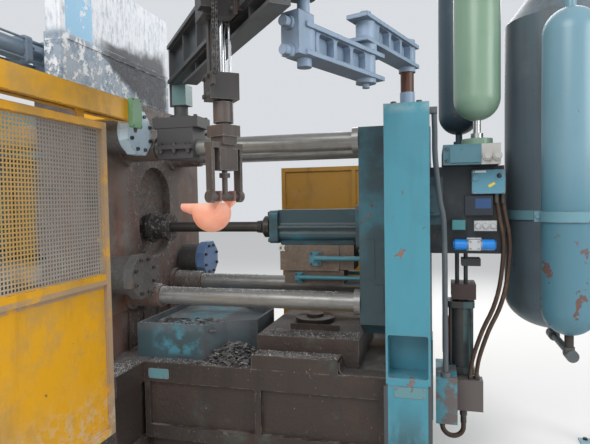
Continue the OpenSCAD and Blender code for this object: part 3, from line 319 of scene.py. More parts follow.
def oily_look():
    """The bed's dark brown paint, oily, crusted near the floor and deep in metal dust on top."""
    look = Look("oily_bed", srgb(58, 49, 45), 0.42)
    look.coat(srgb(78, 60, 52), look.spots((0.46, 0.7), 2.2, 6, 0.65, seed=4), 0.55, strength=0.8)
    look.coat(srgb(72, 92, 84), look.spots((0.6, 0.72), 3.4, 7, 0.6, seed=9), 0.5, strength=0.6)
    look.coat(SOOT, look.spots((0.5, 0.78), 5, 6, 0.6, stretch=(1, 1, 0.2), seed=6), 0.3, strength=0.8)
    crust = look.times(look.spots((0.6, 0.66), 13, 9, 0.75, seed=14), look.band(look.z, 0.3, 0.02))
    look.coat(srgb(150, 142, 132), crust, 0.9, strength=0.8)
    look.raise_by(crust, 0.004)
    look.coat(ALU, look.spots((0.68, 0.72), 55, 4, 0.7, seed=19), 0.5, strength=0.7)
    look.coat(srgb(140, 128, 116), look.worn((0.48, 0.6), 14, 6, 0.7), 0.7, strength=0.8)
    lies = look.times(look.band(look.up, 0.4, 0.9), look.spots((0.36, 0.6), 7, 8, 0.72, seed=21))
    look.coat(srgb(112, 108, 106), lies, 0.9, strength=0.85)
    look.coat(srgb(182, 180, 178), (lies, look.spots((0.56, 0.66), 130, 4, 0.75, seed=27)), 0.7)
    look.raise_by(look.noise(40, 8, 0.7), 0.006)
    return look


def platen_look():
    """The fixed platen's casting: grey dust above, red brown runs below, metal splashed by the sleeve."""
    look = Look("rust_platen", srgb(100, 88, 82), 0.7)
    runs = look.spots((0.42, 0.66), 8, 7, 0.62, stretch=(1, 1, 0.12), seed=2)
    look.coat(srgb(108, 70, 56), (runs, look.band(look.z, 2.2, 1.6)), 0.75, strength=0.85)
    look.coat(srgb(128, 122, 118), look.spots((0.5, 0.7), 5, 7, 0.66, seed=7), 0.85, strength=0.55)
    look.coat(SOOT, look.spots((0.54, 0.72), 3.1, 7, 0.6, seed=12), 0.5, strength=0.75)
    side = look.band(look.math("ABSOLUTE", look.y, 0.0), 0.42, 0.2)
    splash = look.times(side, look.spots((0.5, 0.6), 26, 9, 0.78, seed=15))
    look.coat(srgb(150, 150, 150), splash, 0.6, strength=0.8)
    look.raise_by(splash, 0.006)
    look.coat(ALU, look.spots((0.66, 0.71), 70, 5, 0.75, seed=18), 0.5, strength=0.8)
    look.coat(srgb(132, 128, 124), look.band(look.up, 0.3, 0.8), 0.9, strength=0.8)
    look.coat(srgb(150, 138, 128), look.worn((0.5, 0.62), 18, 6, 0.7), 0.6, strength=0.6)
    look.raise_by(look.noise(60, 7, 0.7), 0.002)
    return look


def hood_look():
    """Pale dust and flaking on blue grey sheet, a painted sheen over its top, with a fresh blue patch and a
    smear of soot.
    """
    look = Look("dusty_sheet", srgb(150, 162, 174), 0.6)
    chalk_and_sheen = look.spots((0.3, 0.56), 34, 8, 0.75, stretch=(1, 1, 0.3), seed=3)
    # Near white over the top of the hood: pale chalky dust, with a painted sheen.
    look.coat(srgb(228, 229, 232), (look.band(look.z, 2.70, 2.76), chalk_and_sheen), 0.8, strength=0.92)
    bare = look.spots((0.5, 0.56), 7, 9, 0.72, seed=9, distort=0.5)
    look.coat(srgb(98, 122, 142), (bare, look.band(look.z, 2.74, 2.66)), 0.5, strength=0.9)
    flake = look.times(look.spots((0.5, 0.55), 13, 9, 0.78, seed=13), look.band(look.z, 2.74, 2.70))
    look.coat(srgb(222, 225, 228), flake, 0.8)
    look.raise_by(flake, 0.002)
    patch = (look.within("hood patch"), look.spots((0.62, 0.56), 9, 7, 0.7, seed=5))
    look.coat(srgb(112, 168, 200), patch, 0.45)
    # The smear starts at a point and widens towards one side. Out and rise are measured from its start.
    out = look.math("ADD", look.y, 0.55)
    rise = look.math("SUBTRACT", look.z, 2.74)
    along = look.math("SUBTRACT", look.times(out, 0.995), look.times(rise, 0.2))
    across = look.math("ABSOLUTE", look.math("ADD", look.times(out, 0.2), look.times(rise, 0.98)), 0.0)
    wide = look.math("ADD", look.times(along, 0.33), 0.04)
    torn = look.math("ADD", look.math("DIVIDE", across, wide), look.noise(6, 5, 0.6, seed=20))
    smear = (look.band(torn, 1.6, 1.15), look.band(along, -0.03, 0.2), look.band(look.y, 0.42, 0.33))
    look.coat(srgb(46, 46, 50), smear, 0.7, strength=0.93)
    look.coat(srgb(214, 214, 212), look.worn((0.44, 0.56), 20, 6, 0.7), 0.7, strength=0.8)
    look.raise_by(look.noise(90, 6, 0.7), 0.0008)
    return look


def steel_look(name, color, rough=0.35, metallic=0.75, soot=0.5, splash=0.3, along="none"):
    """Bare steel with lighter streaks along its work that are painted highlights, smeared with oil and
    splashed with metal.
    """
    look = Look(name, color, rough, metallic)
    stretch = {"x": (0.05, 1, 1), "z": (1, 1, 0.05), "none": (1, 1, 1)}[along]
    bright = tuple(c * 1.5 for c in color[:3]) + (1.0,)
    # Lighter streaks along the work, or lighter spots where there is none: painted highlights.
    look.coat(bright, look.spots((0.45, 0.7), 60, 4, 0.6, stretch, 4), rough * 0.7, strength=0.6)
    look.coat(SOOT, look.spots((0.45, 0.72), 4, 7, 0.65, seed=6), 0.5, 0.1, soot)
    look.coat(srgb(104, 84, 66), look.spots((0.58, 0.74), 7, 6, 0.6, seed=10), 0.6, 0.2, 0.5)
    if splash:
        drops = look.spots((0.69 - splash * 0.2, 0.73 - splash * 0.2), 34, 9, 0.78, seed=15)
        look.coat(srgb(168, 168, 168), drops, 0.45, 0.6)
        look.raise_by(drops, 0.003)
    look.coat(srgb(150, 150, 148), look.worn((0.4, 0.6), 25, 5), 0.4, strength=0.6)
    look.raise_by(look.noise(120, 4, 0.6, stretch), 0.0003)
    return look


def yellow_look():
    """The guard's yellow, dull and brown at the door's near post and middle rail, grey low down."""
    look = paint("yellow_paint", srgb(226, 164, 22), 0.12, 0.28, 0.35, 0.45, srgb(120, 96, 70), 0.9, 12)
    look.coat(srgb(172, 140, 84), look.spots((0.44, 0.68), 3.5, 7, 0.68, seed=41), 0.75, strength=0.6)
    rim = look.math("MAXIMUM", look.within("door post"), look.within("door rail"))
    look.coat(srgb(156, 136, 116), (rim, look.spots((0.3, 0.5), 5, 7, 0.7, seed=43)), 0.8, strength=0.85)
    lower = (look.band(look.z, 0.75, 0.35), look.spots((0.46, 0.6), 16, 8, 0.75, seed=44))
    look.coat(srgb(196, 184, 160), lower, 0.85, strength=0.8)
    return look


def perforated_look():
    """The perforated sheet: brown yellow to the left, grey to the right."""
    look = paint("mesh_paint", srgb(186, 148, 78), 0.2, 0.3, 0.0, 0.5, srgb(120, 110, 96), 0.2, 12)
    film = look.spots((0.35, 0.6), 1.9, 6, 0.6, seed=52)
    look.coat(srgb(168, 140, 108), film, 0.8, strength=0.7)
    grey = look.band(look.math("ADD", look.y, look.times(film, 0.06)), -1.60, -1.50)
    look.coat(srgb(140, 136, 131), grey, 0.8, strength=0.92)
    look.coat(srgb(186, 180, 168), (film, look.band(look.z, 1.6, 1.3)), 0.8, strength=0.5)
    return look


def tie_end_look():
    """The tie bar ends: one pale blue, one clean blue, the rest grey with dust."""
    look = steel_look("tie_end_grey", srgb(92, 90, 88), 0.6, 0.2, 0.5, 0.35)
    near_top = look.within("near tie bar end")
    look.coat(srgb(186, 206, 218), near_top, 0.45, 0.0)
    far_low = look.within("far tie bar end")
    look.coat(srgb(112, 142, 184), far_low, 0.45, 0.0)
    painted = look.math("MAXIMUM", near_top, far_low)
    look.coat(srgb(96, 92, 96), (painted, look.spots((0.62, 0.66), 30, 8, 0.7, seed=61)), 0.7)
    look.coat(srgb(74, 70, 70), look.worn((0.46, 0.6), 22, 6), 0.7)
    return look


def ladle_look():
    """A salmon ladle with a faint painted glow, pinker at its spout, its lever dark above the rim."""
    look = Look("hot_ladle", srgb(232, 166, 140), 0.7)
    look.coat(srgb(218, 138, 112), look.spots((0.45, 0.7), 9, 6, 0.6, seed=3), strength=0.6)
    look.coat(srgb(236, 150, 146), look.band(look.x, 1.04, 0.98), strength=0.7)
    look.coat(srgb(246, 196, 174), look.band(look.z, 1.62, 1.66), strength=0.5)
    look.coat(srgb(96, 86, 84), look.band(look.z, 1.667, 1.672), 0.6)
    look.raise_by(look.noise(150, 5, 0.7), 0.001)
    # A faint orange emission on the ladle: a painted glow.
    glow = look.shader.inputs
    glow["Emission Color"].default_value = srgb(255, 120, 70)
    glow["Emission Strength"].default_value = 0.06
    return look


def rubber_look():
    """Brown black hose, stained and dusty."""
    look = Look("hose_rubber", srgb(70, 50, 38), 0.6)
    look.coat(srgb(104, 82, 62), look.spots((0.48, 0.66), 9, 7, 0.7, seed=2), 0.8, strength=0.7)
    look.coat(SOOT, look.spots((0.52, 0.7), 21, 6, 0.6, seed=7), 0.4, strength=0.7)
    look.raise_by(look.noise(300, 3, 0.6), 0.0006)
    dusty(look, 0.5)
    return look


LOOKS = {}


def give(look, *names):
    """The look goes to the CAD nodes of these names."""
    mat = look.done()
    for name in names:
        LOOKS[name] = mat


def clamp_looks():
    """The bed, the platens, the tie bars and the clamp end."""
    give(oily_look(), "clamp_bed", "platen_base", "shot_bed", "bed_riser")
    give(platen_look(), "fixed_platen")
    give(hood_look(), "platen_hood")
    give(steel_look("bar_steel", srgb(138, 137, 134), 0.36, 0.5, 0.36, 0.16, "x"), "shot_bars", "tie_bars")
    give(tie_end_look(), "tie_bar_ends")
    give(steel_look("die_steel", srgb(112, 110, 106), 0.5, 0.5, 0.5, 0.1), "fixed_die", "moving_die")
    give(paint("teal_paint", TEAL, 0.32, 0.35, 0.5), "moving_platen", "toggle_platen")
    give(steel_look("link_steel", srgb(104, 104, 102), 0.4, 0.6, 0.5, 0.0), "toggle_links")
    give(paint("cylinder_paint", TEAL, 0.3, 0.45, 0.4), "closing_cylinder")
    give(paint("core_paint", srgb(112, 130, 146), 0.2, 0.4, 0.6), "core_cylinder")


def column_looks():
    """The two columns and the yoke. The front column is pale at its top edge and oily at its foot."""
    give(paint("column_paint", srgb(74, 148, 168), 0.42, 0.22, 0.5, 0.4), "rear_column")

    look = paint("front_column_paint", srgb(70, 142, 160), 0.42, 0.16, 0.5, 0.38)
    rim = (look.band(look.z, 2.13, 2.18), look.spots((0.4, 0.6), 6, 7, 0.7, seed=71))
    look.coat(srgb(132, 166, 172), rim, 0.6, strength=0.8)
    oil = look.spots((0.42, 0.6), 5, 7, 0.66, stretch=(1, 1, 0.3), seed=73)
    look.coat(srgb(60, 48, 42), (look.band(look.z, 0.62, 0.1), oil), 0.5, strength=0.9)
    for web in ("left column web", "right column web"):
        look.coat(srgb(70, 54, 48), look.within(web), 0.5, strength=0.85)
    give(look, "front_column")

    look = paint("yoke_paint", srgb(58, 112, 126), 0.25, 0.7, 0.5, 0.45)
    look.coat(srgb(44, 48, 50), look.spots((0.4, 0.62), 2.4, 6, 0.6, seed=81), 0.4, strength=0.75)
    give(look, "shot_yoke")


def shot_looks():
    """The shot cylinder, its manifold, the plunger's rod and sleeve, and the boxes on the bed."""
    give(steel_look("sleeve_steel", srgb(64, 60, 58), 0.5, 0.3, 0.6, 0.7), "shot_sleeve")
    give(steel_look("dark_steel", srgb(64, 60, 56), 0.42, 0.45, 0.7, 0.25, "x"), "plunger_rod")

    look = paint("shot_paint", srgb(62, 132, 150), 0.3, 0.4, 0.0, 0.42)
    oil = look.spots((0.36, 0.56), 3.2, 7, 0.62, stretch=(0.35, 1, 1), seed=83)
    look.coat(srgb(50, 56, 58), oil, 0.38, strength=0.8)
    lies = (look.band(look.up, 0.2, 0.7), look.spots((0.3, 0.6), 8, 7, 0.7, seed=84))
    look.coat(srgb(116, 116, 114), lies, 0.85, strength=0.9)
    give(look, "shot_cylinder")

    look = steel_look("brown_steel", srgb(112, 98, 86), 0.55, 0.15, 0.35, 0.0)
    for mirrored in (False, True):
        for tubes in ("upper manifold tubes", "lower manifold tubes"):
            look.coat(srgb(72, 132, 146), look.within(tubes, mirrored), 0.5, 0.0)
    look.coat(srgb(208, 206, 196), look.within("manifold tag"), 0.6, 0.0)
    dusty(look, 0.5)
    give(look, "shot_manifold")

    look = paint("drip_box_paint", srgb(62, 84, 90), 0.3, 0.5, 0.9, 0.5)
    patchy = look.spots((0.4, 0.52), 7, 7, 0.66, seed=84)
    # The dark teal stays at the box's left end and foot as painted shade; elsewhere a lighter teal in patches
    # stands for the lit part.
    painted_lit_part = (look.band(look.x, 0.2, 0.3), look.band(look.z, 0.62, 0.66), patchy)
    look.coat(srgb(74, 140, 156), painted_lit_part, 0.5, strength=0.8)
    look.coat(srgb(78, 79, 82), look.band(look.x, 0.55, 0.62), 0.7, strength=0.85)
    ash = (look.band(look.z, 0.76, 0.84), look.spots((0.35, 0.55), 9, 7, 0.7, seed=85))
    look.coat(srgb(96, 100, 104), ash, 0.8)
    give(look, "drip_box")
    give(steel_look("tray_steel", srgb(104, 98, 94), 0.6, 0.3, 0.4, 0.3), "chip_tray")


def ladler_looks():
    """The boom on its post, the arms that brace it, and the ladle on its mast."""
    look = paint("post_paint", srgb(86, 116, 116), 0.3, 0.4, 0.4)
    look.coat(srgb(66, 62, 62), look.within("boom clamp"), 0.6, strength=0.95)
    dusty(look, 0.8)
    give(look, "boom_post")
    give(paint("boom_paint", srgb(64, 68, 70), 0.15, 0.35, 0.5, 0.45, srgb(110, 104, 98)), "ladler_boom")
    give(paint("carriage_paint", srgb(52, 50, 49), 0.2, 0.5, 0.5, 0.45, srgb(96, 88, 82)), "ladle_carriage")

    look = steel_look("mast_steel", srgb(86, 78, 74), 0.5, 0.35, 0.5, 0.15, "z")
    look.coat(srgb(206, 208, 210), look.band(look.z, 2.092, 2.094), 0.16, 1.0)
    give(look, "ladle_mast")
    give(ladle_look(), "ladle_cup")

    look = paint("arm_paint", srgb(144, 164, 186), 0.16, 0.2, 0.6, 0.42, srgb(96, 92, 92))
    look.coat(srgb(92, 58, 44), look.within("arm pin"), 0.4)
    # Faces that point down, below the top, are painted darker: painted shade on the undersides.
    below = look.band(look.up, -0.7, -0.9)
    look.coat(srgb(70, 72, 76), (below, look.band(look.z, 3.0, 2.9)), 0.7, strength=0.7)
    give(look, "inner_arm", "outer_arm")


def guard_looks():
    """The guard door with its rail, and the guard behind the machine."""
    give(yellow_look(), "guard_rail", "guard_door")
    # The guard behind the machine is painted a darker yellow than the door: painted shade.
    give(
        paint("rear_guard_paint", srgb(172, 124, 36), 0.2, 0.45, 0.5, 0.5, srgb(104, 84, 62), 0.9, 12),
        "rear_guard",
    )


def valve_looks():
    """The valve block, the terminal box and the solenoid valves."""
    look = paint("valve_block_paint", srgb(44, 50, 54), 0.12, 0.5, 0.5, 0.4, srgb(80, 76, 74))
    look.coat(srgb(76, 118, 130), look.within("left valve head"), 0.45)
    look.coat(srgb(176, 174, 170), look.within("right valve head"), 0.45, 0.4)
    look.coat(srgb(86, 122, 132), look.within("valve block side"), 0.5, strength=0.5)
    give(look, "shot_valve_block")

    look = paint("terminal_paint", srgb(92, 148, 168), 0.06, 0.15, 0.3, 0.4)
    look.coat(srgb(36, 44, 54), look.within("dark box"), 0.5)
    look.coat(srgb(46, 92, 150), look.within("dark box face"), 0.5, strength=0.6)
    look.coat(srgb(226, 228, 230), look.within("terminal strip"), 0.5)
    give(look, "terminal_box")

    look = Look("valve_blue", srgb(30, 132, 216), 0.32)
    look.coat(srgb(24, 104, 176), look.spots((0.5, 0.7), 9, 6, 0.6), strength=0.6)
    look.coat(srgb(198, 200, 202), look.within("blue valve middle"), 0.4, 0.4)
    look.coat(srgb(188, 190, 190), look.within("upper valve body"), 0.4, 0.4)
    look.coat(srgb(70, 132, 136), look.within("upper valve end"), 0.5)
    look.coat(SOOT, look.worn((0.5, 0.62), 40, 5), 0.6, strength=0.7)
    give(look, "solenoid_valves")


def hydraulic_looks():
    """The accumulators, the gas bottles, the lock cylinder with its blocks, the pipes and the hoses."""
    look = paint("green_paint", srgb(122, 150, 128), 0.06, 0.3, 0.2, 0.28, srgb(88, 92, 84), 0.3, 6)
    look.coat(srgb(196, 196, 192), look.within("accumulator neck"), 0.25, 0.9)
    give(look, "green_accumulator")
    under = srgb(84, 78, 74)
    give(paint("dark_teal_paint", srgb(50, 68, 78), 0.12, 0.4, 0.4, 0.4, under), "dark_accumulator")
    give(paint("rear_bottle_paint", srgb(86, 100, 108), 0.12, 0.5, 0.4, 0.42, under), "rear_bottle")

    look = paint("lock_paint", srgb(46, 50, 52), 0.1, 0.5, 0.4, 0.45, srgb(78, 70, 66))
    # A lighter teal, in patches, on the cylinder's lit side: painted light.
    painted_lit_part = (look.within("lock cylinder lit side"), look.spots((0.4, 0.56), 6, 6, 0.6, seed=91))
    look.coat(srgb(70, 96, 98), painted_lit_part, 0.45, strength=0.7)
    look.coat(srgb(64, 44, 40), look.within("lock cylinder head"), 0.5, strength=0.8)
    block = look.within("left lower block")
    look.coat(srgb(76, 138, 152), block, 0.5)
    look.coat(srgb(108, 100, 98), (block, look.spots((0.47, 0.56), 9, 8, 0.7, seed=93)), 0.8)
    look.coat(srgb(96, 88, 86), look.within("right lower block"), 0.7)
    look.coat(srgb(146, 58, 48), look.within("red tube"), 0.5)
    give(look, "lock_cylinder")

    look = paint("front_bottle_paint", srgb(112, 148, 162), 0.14, 0.2, 0.3, 0.3, srgb(110, 84, 78), 0.6, 8)
    look.coat(srgb(76, 122, 138), look.band(look.z, 1.95, 1.5), 0.4, strength=0.85)
    flaked = look.spots((0.6, 0.61), 9, 9, 0.62, seed=95, distort=0.3)
    flaked = look.times(look.band(look.z, 1.55, 1.3), flaked)
    look.coat(srgb(108, 80, 74), flaked, 0.8)
    look.raise_by(flaked, -0.001)
    look.coat(srgb(58, 52, 48), look.within("bottle valve"), 0.6)
    give(look, "front_bottle")

    give(paint("stand_paint", srgb(104, 148, 160), 0.25, 0.4, 0.5), "bottle_stand")
    give(paint("pipe_paint", srgb(84, 90, 94), 0.12, 0.4, 0.5, 0.45, srgb(104, 92, 82)), "pipe_runs")
    give(rubber_look(), "hose_runs")


def facing(place, axis, turn=0.0):
    """A matrix that puts local Z along the axis, at a place."""
    lean = Vector(axis).normalized().to_track_quat("Z", "Y").to_matrix().to_4x4()
    return Matrix.Translation(place) @ lean @ Matrix.Rotation(turn, 4, "Z")


def grid(xs, ys, zs):
    """Every place that has one of the given x, y and z values."""
    return [(x, y, z) for x in xs for y in ys for z in zs]


def rectangle(x0, x1, y0, y1):
    """The outline of a plain plate."""
    return [(x0, y0), (x1, y0), (x1, y1), (x0, y1)]


def cut_corners(w, h, cut):
    """The outline of a plate of half size w by h with its corners cut."""
    right = [(w - cut, -h), (w, cut - h), (w, h - cut), (w - cut, h)]
    return [(cut - w, -h)] + right + [(cut - w, h), (-w, h - cut), (-w, cut - h)]


class Build:
    """Many small solids gathered into one mesh."""

    def __init__(self):
        self.points = []
        self.faces = []

    def add(self, points, faces, at=Matrix()):
        """One more solid, its points given where it lies before the matrix moves it."""
        base = len(self.points)
        self.points += [tuple(at @ Vector(p)) for p in points]
        self.faces += [[base + i for i in face] for face in faces]

    def lathe(self, profile, sides, at):
        """A solid turned about local Z, from (radius, height) pairs that start and end on the axis."""
        points, rings, faces = [], [], []
        for r, z in profile:
            if r == 0:
                rings.append([len(points)] * sides)
                points.append((0, 0, z))
            else:
                rings.append(list(range(len(points), len(points) + sides)))
                angles = [2 * math.pi * k / sides for k in range(sides)]
                points += [(r * math.cos(a), r * math.sin(a), z) for a in angles]
        for low, high in zip(rings, rings[1:]):
            for k in range(sides):
                j = (k + 1) % sides
                face = list(dict.fromkeys((low[k], low[j], high[j], high[k])))
                if len(face) > 2:
                    faces.append(face)
        self.add(points, faces, at)

    def slab(self, outline, z0, z1, at, edge=0.0):
        """A plate with an outline of its own, its upper edge bevelled by edge."""
        n = len(outline)
        cx = sum(p[0] for p in outline) / n
        cy = sum(p[1] for p in outline) / n
        rings = [[(x, y, z0) for x, y in outline], [(x, y, z1 - edge) for x, y in outline]]
        if edge:
            inner = [(x - math.copysign(edge, x - cx), y - math.copysign(edge, y - cy)) for x, y in outline]
            rings.append([(x, y, z1) for x, y in inner])
        points = [p for ring in rings for p in ring]
        faces = [list(range(n - 1, -1, -1)), [len(points) - n + k for k in range(n)]]
        for r in range(len(rings) - 1):
            for k in range(n):
                low, next_low = r * n + k, r * n + (k + 1) % n
                faces.append([low, next_low, next_low + n, low + n])
        self.add(points, faces, at)

    def cap_screw(self, d, place, axis):
        """A socket cap screw, its head standing on the place."""
        socket = [(0, 0.45), (0.42, 0.5), (0.42, 1)]
        head = [(0.68, 1), (0.76, 0.92), (0.76, 0), (0, 0)]
        self.lathe([(r * d, z * d) for r, z in socket + head], 12, facing(place, axis))

    def hex_bolt(self, d, place, axis, turn=0.0):
        """A hexagon head on a washer."""
        at = facing(place, axis, turn)
        washer = [(0, 0.12), (1.1, 0.12), (1.1, 0), (0, 0)]
        head = [(0, 0.78), (0.72, 0.78), (0.88, 0.68), (0.88, 0.1), (0, 0.1)]
        self.lathe([(r * d, z * d) for r, z in washer], 16, at)
        self.lathe([(r * d, z * d) for r, z in head], 6, at)

    def nut_on_rod(self, d, place, axis):
        """A hexagon nut with the end of its stud standing out."""
        at = facing(place, axis)
        nut = [(0, 0.85), (0.74, 0.85), (0.88, 0.75), (0.88, 0), (0, 0)]
        stud = [(0, 1.35), (0.42, 1.35), (0.5, 1.25), (0.5, 0.5), (0, 0.5)]
        self.lathe([(r * d, z * d) for r, z in nut], 6, at)
        self.lathe([(r * d, z * d) for r, z in stud], 12, at)

    def piece(self, name, material, body, smooth=False):
        """The gathered solids as one named piece, riding on a body of the frame."""
        mesh = bpy.data.meshes.new(name)
        mesh.from_pydata(self.points, [], self.faces)
        mesh.materials.append(material)
        if smooth:
            for face in mesh.polygons:
                face.use_smooth = True
        made = add_object(name, mesh)
        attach(made, body)
        return made


def by_boom(t, v, z):
    """A place so far along the boom and to its side, at a height."""
    return BOOM_AT + BOOM_ALONG * t + BOOM_SIDE * v + Vector((0, 0, z))


def make_mesh_sheet(mat):
    """The guard door's perforated sheet, with square holes all over."""
    low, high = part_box("guard_mesh")
    x = (low[0] + high[0]) / 2
    pitch, rib, thick = 0.0205, 0.0075, 0.002
    ny = int((high[1] - low[1]) / pitch)
    nz = int((high[2] - low[2]) / pitch)

    def marks(a, b, n):
        """The edges of the holes from a to b, with the rims at both ends."""
        step = (b - a - rib) / n
        cuts = [a]
        for i in range(n):
            cuts += [a + rib + i * step, a + (i + 1) * step]
        return cuts + [b]

    ys, zs = marks(low[1], high[1], ny), marks(low[2], high[2], nz)
    made = Build()
    wide = len(ys)
    for side in (-1, 1):
        made.points += [(x + side * thick / 2, y, z) for z in zs for y in ys]
    back = wide * len(zs)
    for k in range(len(zs) - 1):
        for i in range(wide - 1):
            a = k * wide + i
            b, c, d = a + 1, a + wide + 1, a + wide
            if i % 2 == 1 and k % 2 == 1:
                made.faces += [[p, q, q + back, p + back] for p, q in ((a, b), (b, c), (c, d), (d, a))]
            else:
                made.faces += [[d, c, b, a], [a + back, b + back, c + back, d + back]]
    sheet = made.piece("perforated_sheet", mat, "door")
    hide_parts("guard_mesh")


def make_chain(mat):
    """The lift chain as rollers and side plates, laid round the loop."""
    low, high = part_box("lift_chain")
    middle = by_boom(LADLE_T + 0.122, MAST_V - 0.064, 0)
    z0, z1, r = low[2] + 0.030, high[2] - 0.030, 0.0262
    straight = z1 - z0
    round_end = math.pi * r
    total = 2 * (straight + round_end)
    pitch = 0.016
    count = 2 * round(total / pitch / 2)

    def loop(s):
        """A point of the loop and its direction, as distances along the boom and up."""
        s %= total
        if s < straight:
            return (r, z0 + s), (0, 1)
        s -= straight
        if s < round_end:
            a = s / r
            return (r * math.cos(a), z1 + r * math.sin(a)), (-math.sin(a), math.cos(a))
        s -= round_end
        if s < straight:
            return (-r, z1 - s), (0, -1)
        a = (s - straight) / r
        return (-r * math.cos(a), z0 - r * math.sin(a)), (math.sin(a), -math.cos(a))

    def on_machine(s):
        """The place on the machine s pitches round the loop, and the direction there."""
        (u, z), (du, dz) = loop(s * total / count)
        return middle + BOOM_ALONG * u + Vector((0, 0, z)), (BOOM_ALONG * du + Vector((0, 0, dz))).normalized()

    half_roller = [(0, 0.0055), (0.0022, 0.0055), (0.0022, 0.004), (0.0034, 0.004)]
    roller = half_roller + [(r, -z) for r, z in reversed(half_roller)]
    half, w = 0.5 * total / count, 0.0044
    end, waist = half + w * 0.7, w * 0.7
    lower = [(-end, -waist), (-half, -w), (0, -waist), (half, -w), (end, -waist)]
    outline = lower + [(x, -y) for x, y in reversed(lower)]
    made = Build()
    for i in range(count):
        made.lathe(roller, 8, facing(on_machine(i)[0], BOOM_SIDE))
        place, along = on_machine(i + 0.5)
        turn = Matrix((along, BOOM_SIDE.cross(along), BOOM_SIDE)).transposed().to_4x4()
        reach = 0.0042 if i % 2 else 0.0024
        for side in (-1, 1):
            made.slab(outline, side * reach - 0.0007, side * reach + 0.0007, Matrix.Translation(place) @ turn)
    chain = made.piece("lift_chain_links", mat, "carriage")
    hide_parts("lift_chain")


def ring_of_screws(made, centre, radius, d, axis, count, start=0.0):
    """Cap screws on a circle that faces along X, the first one a share of a step past Y."""
    x, y, z = centre
    for k in range(count):
        a = 2 * math.pi * (k + start) / count
        made.cap_screw(d, (x, y + radius * math.cos(a), z + radius * math.sin(a)), axis)


def make_fasteners(dark, bright):
    """Screws, nuts and washers that hold the flanges, plates and covers."""
    made = Build()
    for place in grid((0,), (-TIE_Y, TIE_Y), (AXIS_Z - TIE_DZ, AXIS_Z + TIE_DZ)):
        at = Vector(place)
        ring_of_screws(made, at + Vector((0.236, 0, 0)), 0.118, 0.016, TO_SHOT, 8, 0.5)
        ring_of_screws(made, at + Vector((-2.79, 0, 0)), 0.09, 0.02, TO_CLAMP, 6)
    for side, axis in ((-1, TO_FRONT), (1, TO_BACK)):
        for place in grid((1.281, 1.337), (side * 0.138,), (1.231, 1.303)):
            made.cap_screw(0.011, place, axis)
        for place in grid((1.168, 1.216), (side * 0.113,), (1.108, 1.156)):
            made.cap_screw(0.009, place, axis)
    for place in grid((2.17,), (-0.39,), (1.885, 1.955)):
        made.cap_screw(0.012, place, TO_FRONT)
    hexagons = (
        # The shot cylinder's front flange.
        (0.018, (0.985,), (-0.115, 0.115), (SHOT_Z - 0.088, SHOT_Z + 0.096), TO_CLAMP, 0),
        # The boom post's clamp round the upper bar, and its foot plate.
        (0.018, (0.33, 0.43, 0.53), (-0.443, -0.223), (2.049,), UP, 0.3),
        (0.016, (0.29, 0.576), (-0.413, -0.253), (2.235,), UP, 0),
        # The core cylinder's flange.
        (0.013, (-0.358, -0.242), (-0.945,), (2.537, 2.653), TO_BACK, 0),
        # The closing cylinder's end, and its flange on the toggle platen.
        (0.024, (-3.44,), (-0.14, 0.14), (AXIS_Z - 0.14, AXIS_Z + 0.14), TO_CLAMP, 0),
        (0.022, (-2.74,), (-0.1596, 0.1596), (AXIS_Z - 0.1596, AXIS_Z + 0.1596), TO_CLAMP, 0.2),
        # The tops of the columns.
        (0.02, (1.88, 2.02), (-0.6, -0.44), (2.196,), UP, 0.4),
        (0.02, (1.88, 2.02), (0.44, 0.6), (2.196,), UP, 0.1),
        # The feet of the guard's post and of the bottle stand.
        (0.016, (0.21, 0.39), (-3.36, -3.26), (0.012,), UP, 0),
        (0.016, (3.08, 3.38), (-0.374, -0.214, 0.104, 0.264), (0.012,), UP, 0),
    )
    for d, xs, ys, zs, axis, turn in hexagons:
        for place in grid(xs, ys, zs):
            made.hex_bolt(d, place, axis, turn)
    for place in grid((0.33, 0.43, 0.53), (-0.443, -0.223), (2.021,)):
        made.nut_on_rod(0.018, place, DOWN)
    for place in grid((-0.358, -0.242), (-1.425,), (2.537, 2.653)):
        made.nut_on_rod(0.016, place, TO_FRONT)
    made.piece("fasteners", dark, "root")

    made = Build()
    pan_head = [(0, 0.003), (0.004, 0.003), (0.0055, 0.0015), (0.0055, 0), (0, 0)]
    for place in grid((2.333, 2.495), (TERMINAL_Y,), (1.698, 1.823)):
        made.lathe(pan_head, 12, facing(place, TO_FRONT))
    for place in grid((2.309, 2.355), (VALVE_Y,), (1.359, 1.401)):
        made.cap_screw(0.007, place, TO_FRONT)
    made.piece("small_screws", bright, "root")

    made = Build()
    for t, _, z in grid((-0.08, 0.08), (0,), (2.46, 2.70)):
        made.hex_bolt(0.011, by_boom(LADLE_T + t, -0.082, z), -BOOM_SIDE)
    for t, _, z in grid((-0.035, 0.035), (0,), (2.115, 2.19)):
        made.hex_bolt(0.012, by_boom(LADLE_T + t, MAST_V - 0.07, z), -BOOM_SIDE)
    made.piece("carriage_bolts", dark, "carriage")


